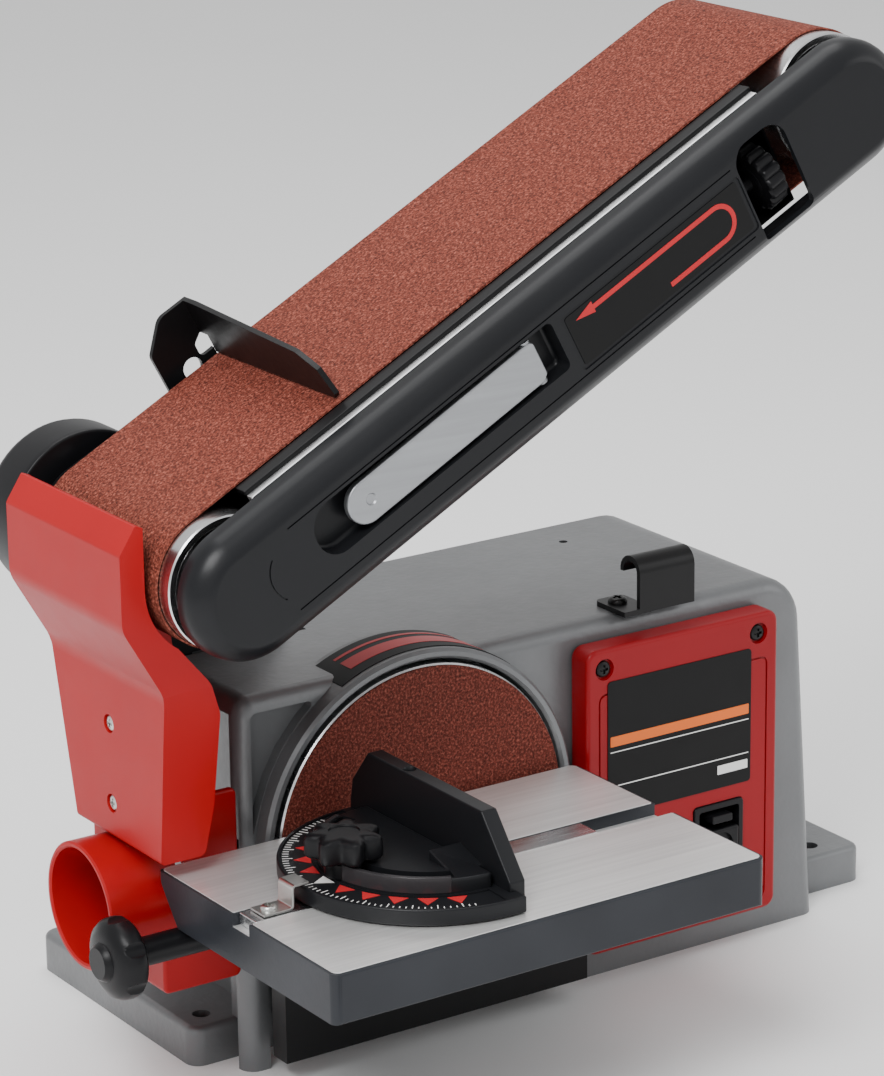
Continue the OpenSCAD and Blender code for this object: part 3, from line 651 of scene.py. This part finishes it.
def build_switch():
    x0, x1, z0, z1 = *SWITCH_X, *SWITCH_Z
    frame_out = prism(box_outline(x0 + 0.3, z0 + 0.3, x1 - 0.3, z1 - 0.3, 2.2), PLATE_Y - 1.2, 26)
    frame_out = soften(frame_out, 0.7, 3)
    well = prism(box_outline(x0 + 3, z0 + 3, x1 - 3, z1 - 3, 1.5), PLATE_Y - 3, 20)
    piece("switch_case", cut(frame_out, well), "base", BLACK_PLASTIC, ["switch_housing"])
    middle = (x0 + x1) / 2
    paddle = soften(prism(box_outline(x0 + 4, -56, x1 - 4, -37, 1.5), -7, -1), 1.4, 3)
    scoop = lathe([(0, 0), (7.0, 0), (7.4, 3), (0, 3)], at=(middle, -46), steps=40)
    paddle = cut(paddle, shifted(scoop, 0, -8.0, 0))
    paddle = add(paddle, block((middle - 5, -2, -47), (middle + 5, 8, -39)))
    paddle = add(paddle, rod(2.5, x0 + 1, x1 - 1, "x", (6, -43), 24))
    piece("switch_rocker", soften(paddle, 0.3, 2, 45), "switch_paddle", BLACK_PLASTIC,
          ["switch_paddle"])
    key = soften(prism(box_outline(middle - 6, -33.5, middle + 6, -29.5, 0.8), -8, 6), 0.6, 3)
    piece("key", key, "safety_key", BLACK_PLASTIC, ["safety_key"])


def build_hook():
    """The bent rest for a work piece's stop on the casting's top."""
    x0, x1 = 126.0, 158.0
    middle = 6.25
    path = [(middle, TOP + 0.3), (middle, TOP + 19)] + arc(middle + 6.5, TOP + 19, 6.5, 180, -8, 12)[1:]
    plate = bent_sheet(path, 2.5, x0, x1)
    flange = prism(rounded([(117, 5), (133, 5), (133, 29, 3), (117, 29, 3)], 0.5), TOP, TOP + 2.5, "z")
    hook = soften(add(plate, flange), 0.5, 3, 40)
    piece("hook", hook, "base", BLACK_STEEL, ["rest_hook"])
    head = shifted(screw_head(4.6, 2.8), 124, 20, TOP + 2.5)
    piece("hook_screw", head, "base", BLACK_OXIDE, ["rest_hook_screw"])


# ---- dust hood
HOOD_Y = (-28.0, 72.0)
WALL = 3.0
DRUM_GAP = 34.5
PORT_Y, PORT_Z, PORT_R = 30.0, -10.0, 29.3


def hood_outline(right):
    """The hood seen from the front: the skin on the left and, towards right, the edge round the drum."""
    skin = [(-149, 22, 2), (-149, 101, 16), (-168, 134, 14), (-168, 167, 3), (-160, 179, 0.8),
            (-156.5, 177.6, 0.5)]
    if right == "front":
        edge = arc(DRUM_X, DRUM_Z, DRUM_GAP, 180, 236, 12)
        edge += [(-126, 103, 14), (-121, 88, 12), (-123, 45, 10), (-127, 22, 3)]
    else:
        edge = arc(DRUM_X, DRUM_Z, DRUM_GAP, 180, 262, 16)
        edge += [(-91, 100, 4), (-91, 60, 4), (-100, 22, 3)]
    return rounded(skin + edge, 0)


def narrowed(shell, inset):
    """Cuts the hood's front and back so that its left face narrows towards its lower end."""
    shell = trimmed(shell, (0, HOOD_Y[1] - inset, 101), (0, 0.975, -0.222))
    return trimmed(shell, (0, HOOD_Y[0] + inset, 101), (0, -0.995, -0.1))


def build_hood():
    front = prism(hood_outline("front"), HOOD_Y[0], 20)
    back = prism(hood_outline("back"), 19, HOOD_Y[1])
    shell = soften(narrowed(add(front, back), 0), 1.6, 4, 40)
    inside = rounded([(-146, 0), (-146, 102, 14), (-165, 135, 12), (-165, 166, 3), (-158, 176.5), (-150, 190),
                      (-60, 190), (-60, 0)])
    inside = prism(inside, HOOD_Y[0] + WALL, HOOD_Y[1] - WALL)
    shell = cut(shell, narrowed(inside, WALL))
    lower = soften(prism(box_outline(-132, -54, -92, 36, 3), 11, HOOD_Y[1]), 1.6, 4, 40)
    port = (PORT_Y, PORT_Z)
    lower = trimmed(lower, (-92.2, 0, 0), (1, 0, 0))
    room = prism(box_outline(-129, -51, -80, 40, 2), 14, HOOD_Y[1] - WALL)
    crescent = rod(PORT_R - 1, -129, -126, "x", port, 96)
    crescent = trimmed(crescent, (0, 14, 0), (0, 1, 0))
    tube = tube_ring(PORT_R, PORT_R - 2.8, -163, -128, "x", port, 0.8)
    hole = rod(PORT_R - 2.8, -135, -120, "x", port, 96)
    body = add(shell, cut(lower, room))
    body = add(body, tube)
    seats = [(-147.0, 22, z) for z in (38, 75)]
    bores = [lathe([(0, -160), (4.6, -160), (4.2, x), (0, x)], "x", (y, z), 32) for x, y, z in seats]
    body = add(cut(body, hole, *bores), crescent)
    piece("hood", soften(body, 0.5, 2, 40), "base", RED_PLASTIC, ["dust_hood"])
    piece("hood_fixings", screws(seats, 3.7, 1.6, "-x"), "base", ZINC, ["hood_screws"])


# ---- drive
def build_pulley_cover():
    def outline(inset):
        return tapered(40 - inset, 30 - inset, -DRUM_X, -DRUM_Z)

    side = [(1.5, 80.2), (0.3, 81), (0, 83.5), (0, 102), (0.8, 105), (2.4, 108), (4.6, 110.2), (7, 111)]
    shell = layers(side, outline)
    hollow = layers([(5, 82.7), (5, 106), (7, 107.6), (8, 108.6)], outline)
    opening = rod(20.5, 79, 85, steps=64)
    ribs = [prism(tapered(r, r * 0.7, -DRUM_X, -DRUM_Z), low, 112) for r, low in ((26, 110.2), (24, 110.0))]
    groove = cut(*ribs)
    shell = cut(shell, hollow, opening, groove)
    shell = shifted(shell, DRUM_X, 0, DRUM_Z)
    casting = block((-72.5, 70, FLOOR), (140, 125, TOP + 0.4))
    shell = cut(shell, casting, block((-200, 70, FLOOR), (-72, 125, 15)))
    piece("belt_guard", soften(shell, 0.6, 2, 42), "base", BLACK_PLASTIC, ["pulley_cover"])
    heads = [(DRUM_X - 22, 110.4, DRUM_Z + 16), (DRUM_X + 14, 110.4, DRUM_Z + 22)]
    piece("guard_screws", screws(heads, 3.6, 2.0, "+y"), "base", ZINC, ["pulley_cover_screws"])


def drum_shape():
    """A turned drum whose near end is open round a hub."""
    r = drum_radius / MM
    hub = [(0, -37.5), (8, -37.5), (9, -36.5), (9, -30)]
    rim = [(22, -30), (25.4, -31), (26, -32), (26, -39.4), (26.6, -40), (r - 0.6, -40), (r, -39.4)]
    return lathe(hub + rim + [(r, 69.4), (r - 0.6, 70), (0, 70)], steps=128)


def build_drums():
    drum = add(drum_shape(), rod(7.45, 69, 108, steps=40))
    drum = shifted(drum, DRUM_X, 0, DRUM_Z)
    piece("drum_roller", drum, "drum", STEEL, ["drive_drum"])
    roller = cut(drum_shape(), rod(6.55, -36, 71, steps=40))
    piece("end_roller", shifted(roller, REACH, 0, 0), "idler", STEEL,
          ["idler_roller"], ARM)


def build_disc():
    grit = lathe([(0, 1), (76.2, 1), (76.2, 0.2), (76.0, 0), (0, 0)], steps=144)
    piece("sanding_disc", grit, "disc_drive", DISC, ["abrasive_disc"])
    plate = lathe([(0, 1), (76.3, 1), (77, 1.7), (77, 10.4), (76.4, 11), (30, 11), (28, 10), (16, 10), (16, 28),
                   (0, 28)], steps=144)
    bore = rod(5.95, 9, 30, steps=40)
    piece("disc_back", cut(plate, bore), "disc_drive", ALUMINIUM, ["disc_plate"])


# ---- belt arm
COVER_R = 30.0
COVER_Z = -1.2
COVER_Y = (-62.0, -45.0)
WINDOW = (291.0, 321.0)


# The moulded cover's rounded side, from its rim to its face.
COVER_SIDE = [(0.8, COVER_Y[1]), (0.0, COVER_Y[1] - 1.2), (0.0, -51.5), (0.7, -54.5), (2.2, -57.2), (4.4, -59.3),
              (6.4, -60.9), (8.2, -61.8), (9.8, COVER_Y[0])]


def cover_outline(inset):
    return [(x, z + COVER_Z) for x, z in stadium(COVER_R - inset, REACH)]


def build_side_cover():
    shell = layers(COVER_SIDE, cover_outline)
    hollow = layers([(2.6, COVER_Y[1] + 1), (2.6, -51), (4.4, -55.5), (8, -58.4), (12, -59.4)], cover_outline)
    pan = prism(rounded([(32.5, -13.5), (181, -13.5), (181, 17.5), (32.5, 17.5)], 4), COVER_Y[0] - 1, -49.5)
    shell = cut(shell, cut(hollow, pan))
    above = COVER_Y[0] - 2
    recess = rounded([(35, -10.5, 11), (177, -10.5, 3), (177, 14.5, 3), (35, 14.5, 12)])
    recess = soften(prism(recess, above, -52.2), 2.0, 4)
    label_bed = prism(box_outline(181.5, -16.5, 290, 12, 2), above, COVER_Y[0] + 0.7)
    left, right = WINDOW
    window = rounded([(left, -25.5, 3), (right, -25.5, 3), (right, 22, 9), (left, 22, 9)])
    window = prism(window, -64, -44)
    shell = cut(shell, soften(window, 1.0, 3), recess, label_bed)
    seams = []
    for z, start, end in ((16.2, 26, 288), (-18.6, 14, 286)):
        seams.append(prism(box_outline(start, z - 0.35, end, z + 0.35), above, COVER_Y[0] + 0.75))
    hook = stroke(arc(22, -2, 14, 128, 218, 14), 0.7)
    seams.append(prism(hook, above, COVER_Y[0] + 0.6))
    shell = cut(shell, *seams)
    piece("arm_cover", soften(shell, 0.7, 3, 40), "belt_arm", COVER, ["side_cover"], ARM)


def build_direction_panel():
    """A dark panel with a plain loop arrow that shows which way the belt runs."""
    face = COVER_Y[0] + 0.35
    panel = soften(prism(box_outline(183.5, -14.8, 288, 10.3, 1.6), face, COVER_Y[0] + 0.7), 0.12, 2)
    piece("direction_plate", panel, "belt_arm", LABEL, ["direction_panel"], ARM)
    turn = arc(272, -2.2, 8.3, 90, -90, 16)
    path = [(199, 6.1)] + turn + [(238, -10.5)]
    line = prism(stroke(path, 2.3), face - 0.12, face)
    tip = prism([(188.5, 6.1), (199, 9.0), (199, 3.4)], face - 0.12, face)
    piece("direction_arrow", together(line, tip), "belt_arm", LABEL_RED, (), ARM)


def build_belt():
    outer = stadium(31, REACH, 64)
    inner = stadium(30.2, REACH, 64)
    place = PLACE["y"]
    rings = []
    for index in range(len(outer)):
        (ox, oz), (ix, iz) = outer[index], inner[index]
        ring = [place(ox, oz, -31.3), place(ox, oz, 70.1), place(ix, iz, 70.2), place(ix, iz, -31.4)]
        rings.append(ring)
    belt = loft(rings, closed=True)
    piece("belt_loop", belt, "belt_arm", BELT, ["sanding_belt"], ARM, sharp=40)


def build_arm_trim():
    rail = prism(rounded([(40, -20), (40, 20), (25.5, 25), (25.5, 28.2), (326.5, 28.2), (326.5, 25), (300, 24),
                          (297, 20), (297, -20)], 0.8), -43.9, -39.4)
    piece("rail", soften(rail, 0.5, 3, 40), "belt_arm", RAIL, ["side_rail"], ARM)
    strip = prism(rounded([(25.5, 27.4), (25.5, 30.0), (327, 30.0), (327, 27.4)], 0.5), -39.3, -31.6)
    piece("edge_strip", soften(strip, 0.5, 3, 40), "belt_arm", BLACK_STEEL, (), ARM)
    frame_shell = prism(rounded([(38, -24), (300, -24), (300, 26), (38, 26)], 2.5), -38.5, 71.2)
    channel = block((44, -30, -18), (225, 62, 20))
    far_channel = block((229, -30, -18), (305, 62, 20))
    side = prism(tapered(29, 22, 210, 0), 71.2, 76.2)
    bore = rod(20.05, 60, 80, steps=64)
    # The spring passes through the inner web as the carriage moves in.
    seat = rod(7.4, 222, 232, "x", (20, 0), 32)
    frame_shell = add(soften(frame_shell, 1.0, 3), soften(side, 1.0, 3))
    frame_shell = soften(cut(frame_shell, channel, far_channel, bore, seat), 0.4, 2, 42)
    piece("arm_channel", frame_shell, "belt_arm", BLACK_STEEL, ["arm_frame"], ARM)
    # A black box that paints the shade seen through the cover's window behind the tracking knob, clear of the idler
    # when the lever lets it in.
    shade_box = cut(block((288, -44, -27.5), (322.2, -23, 27)), block((289.2, -46, -26.3), (321, -24.2, 25.8)))
    piece("window_painted_shade", shade_box, "belt_arm", BLACK_STEEL, (), ARM)


def build_work_stop():
    """The bent fence across the belt, with its leg on the far side."""
    fence = [(-29, 32), (76, 32), (79, 36), (79, 59), (68, 59), (-12, 52.5), (-25, 46), (-30, 34)]
    fence = prism(fence, 86.0, 88.5, "x")
    leg = prism(rounded([(60, 2, 2), (88.5, 2), (88.5, 59), (72, 59, 7), (60, 46, 4)]), 76.5, 79)
    window = prism(rounded([(70, 24), (80, 24), (80, 34), (70, 34)], 4.9), 70, 85)
    slit = prism(rounded([(81, 31), (90, 31), (90, 44), (81, 38)], 2.5), 70, 85)
    stop = cut(add(fence, leg), window, slit)
    piece("fence", soften(stop, 0.5, 3, 40), "belt_arm", BLACK_STEEL, ["work_stop"], ARM)
    heads = screws([(74, 79, z) for z in (8, 18)], 4.0, 2.6, "+y")
    piece("fence_screws", heads, "belt_arm", ZINC, ["work_stop_screws"], ARM)


def build_lever():
    y0, y1 = COVER_Y[0] + 1, COVER_Y[0] + 5
    outline = arc(64, 1, 10, 90, 270, 20) + [(163, -8.6), (166, -6), (166, 10), (164, 12)]
    lever = soften(prism(outline, y0, y1), 1.0, 4, 40)
    lever = add(lever, rod(2.5, -9.4, 12.9, "z", (163, y1 - 1.0), 24))
    dimple = lathe([(0, 0), (3.2, 0), (2.2, 1.2), (0, 1.4)], at=(66, 1), steps=32)
    lever = cut(lever, shifted(dimple, 0, y0 - 0.5, 0))
    piece("quick_release", lever, "tension_lever", LEVER, ["tension_lever"], ARM)


def build_tracking_knob():
    flutes = 16
    outline_steps = flutes * 8

    def outline(inset):
        points = []
        for k in range(outline_steps):
            angle = 2 * math.pi * k / outline_steps
            wave = 0.5 + 0.5 * math.cos(flutes * angle)
            radius = 16 - inset - 1.7 * (1 - wave ** 0.5)
            points.append((-42.8 + radius * math.cos(angle), -6 + radius * math.sin(angle)))
        return points

    wheel = layers([(1.4, 305), (0.3, 305.8), (0, 306.8), (0, 313.2), (0.3, 314.2), (1.6, 315)], outline, "x")
    stem = rod(3.5, 297.2, 306, "x", (-42.8, -6), 32)
    hub = lathe([(7, 304.2), (8.5, 304.8), (8.5, 306), (0, 306), (0, 304.2)][::-1], "x", (-42.8, -6), 40)
    piece("tracking_wheel", add(wheel, stem, hub), "tracking_knob", BLACK_PLASTIC,
          ["tracking_knob"], ARM)


# ---- table
TABLE_X = (-141.6, 81.8)
TABLE_Y = (-147.0, -3.0)
TABLE_Z = 13.9
SLOT_Y = -73.0
SLOT_W = 14.4
SLOT_D = 6.2


def build_table():
    x0, x1 = TABLE_X
    y0, y1 = TABLE_Y
    skin = TABLE_Z - 0.5
    under = TABLE_Z - 22.9
    side = [(y0, under), (y0, skin), (y1, skin), (y1 - 0.5, skin - 2), (y1 - 16.5, under)]
    plan = prism(box_outline(x0, y0, x1, y1, 4), under - 1, TABLE_Z + 1, "z")
    slab = combine(prism(rounded(side, 1.2, 4), x0, x1, "x"), [plan], "INTERSECT")
    hollow = prism([(y0 + 4, under - 1), (y0 + 4, TABLE_Z - 9), (y1 - 9, TABLE_Z - 9), (y1 - 2, under - 1)],
                   x0 + 4, x1 - 4, "x")
    slot = block((x0 - 1, SLOT_Y - SLOT_W / 2, TABLE_Z - SLOT_D), (x1 + 1, SLOT_Y + SLOT_W / 2, TABLE_Z + 1))
    body = cut(soften(slab, 1.3, 3, 40), hollow, slot)
    piece("table_casting", soften(body, 0.5, 2, 42), "table", TABLE_BODY, ["table_top"])
    rim = 1.3
    left, right = x0 + rim, x1 - rim
    low, high = SLOT_Y - SLOT_W / 2 - 0.4, SLOT_Y + SLOT_W / 2 + 0.4
    front = rounded([(left, y0 + rim, 3), (right, y0 + rim, 3), (right, low, 0.8), (left, low, 0.8)])
    back = rounded([(left, high, 0.8), (right, high, 0.8), (right, y1 - rim, 3), (left, y1 - rim, 3)])
    front = prism(front, skin, TABLE_Z, "z")
    back = prism(back, skin, TABLE_Z, "z")
    piece("table_face", soften(together(front, back), 0.2, 2), "table", TABLE_FACE)
    bed = block((x0 + 0.4, low + 0.55, TABLE_Z - SLOT_D), (x1 - 0.4, high - 0.55, TABLE_Z - SLOT_D + 0.25))
    piece("slot_bed", bed, "table", TABLE_FACE)


def build_lock_knob():
    y, z = -18.7, -15.8
    profile = [(0, -86), (3.4, -86), (3.95, -87), (3.95, -96.3), (5.6, -96.3), (6.5, -97.3), (6.5, -160),
               (8.5, -162.5), (12.5, -164), (16.2, -165.1), (17.9, -166.8), (18.5, -169.6), (18.1, -173.2),
               (16.3, -176), (12.5, -178), (8.8, -178.6), (8.2, -180.2), (7, -181.5), (0, -181.5)]
    knob = lathe(profile, "x", (y, z), 64)
    dents = []
    for k in range(6):
        angle = math.radians(k * 60 + 30)
        spot = (y + 22.9 * math.cos(angle), z + 22.9 * math.sin(angle))
        dents.append(rod(6.0, -184, -162, "x", spot, 32))
    piece("table_knob", soften(cut(knob, *dents), 0.9, 3, 40), "lock_knob", BLACK_PLASTIC,
          ["table_lock_knob"])


# ---- mitre gauge
PIVOT_X = -46.0
KNOB_X = -89.0
HEAD_R = 66.0
HEAD_Z = TABLE_Z + 0.5


def half_disc(radius, low, high, flat=0.0):
    outline = arc(PIVOT_X, SLOT_Y, radius, 90, 270, 64)
    if flat:
        outline += [(PIVOT_X + flat, SLOT_Y - radius), (PIVOT_X + flat, SLOT_Y + radius)]
    return prism(outline, low, high, "z")


def ring_sector(r0, r1, low, high, start=96.0, end=264.0):
    outline = arc(PIVOT_X, SLOT_Y, r1, start, end, 60) + arc(PIVOT_X, SLOT_Y, r0, end, start, 60)
    return prism(outline, low, high, "z")


def on_scale(bm, angle):
    """Turns a mark that lies along X to its place on the scale round the gauge's pivot."""
    return moved(bm, Matrix.Translation((PIVOT_X, SLOT_Y, 0)) @ Matrix.Rotation(math.radians(angle), 4, "Z"))


def scale_arrow(level, angle):
    return on_scale(prism([(51.2, -4.4), (58.6, 0), (51.2, 4.4)], level - 0.1, level + 0.2, "z"), angle)


def build_mitre_head():
    z = TABLE_Z
    top = z + 38
    base = soften(half_disc(HEAD_R, HEAD_Z, z + 8, 6), 0.9, 3, 40)
    wall_side = [(-132, HEAD_Z), (-132, z + 12), (-111, top), (-22, top), (-9, top - 16), (-7, top - 26),
                 (-7, HEAD_Z)]
    fence = soften(prism(rounded(wall_side, 0), PIVOT_X + 2, PIVOT_X + 10, "x"), 0.8, 3)
    dome = soften(half_disc(49, z + 5, z + 14.5), 1.2, 3, 40)
    gusset = [(-111, z + 7), (-111, z + 14), (-94, z + 19), (-94, z + 7)]
    gusset = prism(gusset, PIVOT_X - 14, PIVOT_X + 3, "x")
    head = add(base, dome, fence, soften(gusset, 0.8, 3))
    groove = ring_sector(50.5, 64.2, z + 7.2, z + 9, 93, 267)
    channel = ring_sector(39.4, 46.6, z - 1, z + 20, 110, 250)
    pivot = rod(4, z - 1, z + 9.5, "z", (PIVOT_X, SLOT_Y), 32)
    sink = [(0, top - 6), (2.2, top - 6), (2.2, top - 2), (3.6, top + 1), (0, top + 1)]
    sink = lathe(sink, "z", (PIVOT_X + 6, -50), 32)
    head = cut(head, groove, channel, pivot, sink)
    piece("mitre_body", soften(head, 0.35, 2, 42), "mitre_head", COVER, ["mitre_head"])
    level = z + 7.2
    ticks = []
    for step in range(-30, 31):
        length = 4.6 if step % 4 == 0 else 2.8
        tick = box_outline(63.6 - length, -0.22, 63.6, 0.22)
        ticks.append(on_scale(prism(tick, level - 0.1, level + 0.12, "z"), 180 + step * 2.5))
    piece("scale_ticks", together(*ticks), "mitre_head", LABEL_WHITE)
    marks = [scale_arrow(level, 180 + step * 14) for step in range(-5, 6) if step]
    piece("scale_marks", together(*marks), "mitre_head", LABEL_RED)
    piece("scale_zero", scale_arrow(level, 180), "mitre_head", LABEL_WHITE)
    rim = ring_sector(46.9, 49.2, z + 8.2, z + 15.6, 112, 248)
    piece("arc_rim", soften(rim, 0.5, 3, 40), "mitre_head", SMOKED)


def build_mitre_bar():
    z = TABLE_Z
    half = SLOT_W / 2 - 0.4
    bar = soften(block((-138, SLOT_Y - half, z - SLOT_D + 0.4), (40, SLOT_Y + half, z - 0.3)), 0.5, 3)
    stud = [(0, z - 2), (3, z - 2), (3, z + 23.4), (2.4, z + 24), (0, z + 24)]
    stud = lathe(stud, "z", (KNOB_X, SLOT_Y), 32)
    pin = lathe([(0, z - 2), (3.95, z - 2), (3.95, z + 8.6), (0, z + 9)], "z", (PIVOT_X, SLOT_Y), 32)
    piece("slide_bar", add(bar, stud, pin), "mitre_bar", STEEL, ["mitre_bar"])
    path = [(-133, z + 0.55), (-121, z + 0.55)] + arc(-120, z + 2.0, 1.4, -80, -5, 6) + [(-118.4, z + 9.2)]
    path += arc(-117, z + 9.4, 1.3, 170, 95, 5) + [(-110.5, z + 10.8)]
    clip = prism(stroke(path, 1.1), SLOT_Y - 5.5, SLOT_Y + 6)
    piece("pointer", soften(clip, 0.25, 2, 40), "mitre_bar", ZINC)
    head = shifted(screw_head(3.6, 2.2), -127.5, SLOT_Y, z + 1.0)
    piece("pointer_screw", head, "mitre_bar", ZINC)


def build_mitre_knob():
    lobes = 7
    count = lobes * 14

    def outline(inset):
        points = []
        for k in range(count):
            angle = 2 * math.pi * k / count
            radius = 15.2 - inset + 2.2 * math.cos(lobes * angle)
            points.append((KNOB_X + radius * math.cos(angle), SLOT_Y + radius * math.sin(angle)))
        return points

    z = TABLE_Z
    grip = layers([(3.0, z + 16.2), (1.0, z + 17.0), (0, z + 18.6), (0, z + 24.6), (0.8, z + 26.4), (2.6, z + 27.4),
                   (5.5, z + 27.9)], outline, "z")
    at = (KNOB_X, SLOT_Y)
    grip = cut(grip, lathe([(0, z + 27.2), (6.6, z + 27.2), (7.4, z + 29), (0, z + 29)], "z", at, 48))
    stem = lathe([(0, z + 15.2), (8.2, z + 15.2), (9, z + 15.8), (9, z + 18), (0, z + 18)], "z", at, 48)
    bore = rod(3.05, z - 1, z + 24.3, "z", at, 32)
    collar = tube_ring(9.0, 4.0, z + 8.3, z + 15.4, "z", at, 0.5, 48)
    knob = add(cut(add(grip, stem), bore), collar)
    piece("star_knob", knob, "mitre_knob", BLACK_PLASTIC, ["mitre_knob"])


# ---- what stays as CAD made it
def dress_cad():
    looks = {
        "bottom_plate": (BLACK_STEEL, 0.3), "rear_panel": (BLACK_STEEL, 0.4), "rear_panel_screws": (ZINC, 0.3),
        "lower_disc_guard": (BLACK_STEEL, 0.8), "disc_guard_screws": (BLACK_OXIDE, 0.3), "pivot_bracket": (CAST, 0.8),
        "drive_belt": (RUBBER, 0), "drum_bearings": (STEEL, 0), "motor_stator": (LAMINATION, 0),
        "motor_windings": (COPPER, 0.6), "motor_end_bells": (ALUMINIUM, 0.4), "motor_bearings": (STEEL, 0),
        "motor_bolts": (ZINC, 0), "start_capacitor": (BLACK_PLASTIC, 1.2), "cord_gland": (BLACK_PLASTIC, 0.8),
        "table_trunnions": (CAST, 0.6), "motor_shaft": (STEEL, 0.4),
        "motor_rotor": (LAMINATION, 0), "motor_fan": (BLACK_PLASTIC, 0.2), "motor_pulley": (ALUMINIUM, 0.2),
        "disc_hub_screw": (BLACK_OXIDE, 0), "drum_pulley": (ALUMINIUM, 0.2), "platen": (STEEL, 0.3),
        "cover_screws": (ZINC, 0.3), "arm_lock_screw": (BLACK_OXIDE, 0.4), "idler_carriage": (STEEL, 0.4),
        "tension_spring": (ZINC, 0), "table_pivot_arms": (BLACK_STEEL, 0.3)}
    for node, (material, bevel) in looks.items():
        dress(node, material, bevel)


# ---- studio
def build_studio():
    floor_paint = Paint("studio_floor", (0.93, 0.93, 0.93), 0.6)
    drift = floor_paint.noise(1.5, 2.0)
    floor_paint.colour(floor_paint.ramp(drift, [(0.3, 0.92), (0.7, 0.94)]))
    mesh = bpy.data.meshes.new("floor")
    half = 9.0
    corners = [(-half, -half, 0), (half, -half, 0), (half, half, 0), (-half, half, 0)]
    mesh.from_pydata(corners, [], [(0, 1, 2, 3)])
    mesh.materials.append(floor_paint.material)
    floor = bpy.data.objects.new("floor", mesh)
    scene.collection.objects.link(floor)
    world = bpy.data.worlds.new("studio")
    world.use_nodes = True
    world.node_tree.nodes["Background"].inputs["Color"].default_value = (1, 1, 1, 1)
    world.node_tree.nodes["Background"].inputs["Strength"].default_value = 0.8
    scene.world = world
    target = Vector((0, -0.05, 0.22))
    for name, place, size, power in (("key", (-1.3, -0.9, 1.7), 0.9, 38), ("fill", (1.6, -1.3, 1.0), 1.2, 8),
                                     ("top", (0.1, 0.4, 2.0), 1.4, 22)):
        data = bpy.data.lights.new(name, "AREA")
        data.size = size
        data.energy = power
        light = bpy.data.objects.new(name, data)
        light.location = place
        light.rotation_euler = (target - Vector(place)).to_track_quat("-Z", "Y").to_euler()
        scene.collection.objects.link(light)


def build_camera():
    data = bpy.data.cameras.new("camera")
    data.sensor_fit = "VERTICAL"
    data.sensor_height = 36.0
    data.lens = 132.4
    data.clip_end = 60
    camera = bpy.data.objects.new("camera", data)
    right = Vector((0.83007, -0.55752, -0.01318)).normalized()
    up = Vector((0.17476, 0.23764, 0.95550)).normalized()
    back = right.cross(up).normalized()
    up = back.cross(right)
    turn = Matrix((right, up, back)).transposed().to_4x4()
    camera.matrix_world = Matrix.Translation((-1.0096, -1.5089, 0.7605)) @ turn
    scene.collection.objects.link(camera)
    scene.camera = camera


build_camera()
build_studio()
build_base()
build_switch_plate()
build_rating_panel()
build_switch()
build_hook()
build_hood()
build_pulley_cover()
build_drums()
build_disc()
build_side_cover()
build_direction_panel()
build_belt()
build_arm_trim()
build_work_stop()
build_lever()
build_tracking_knob()
build_table()
build_lock_knob()
build_mitre_head()
build_mitre_bar()
build_mitre_knob()
dress_cad()

bpy.context.view_layer.update()
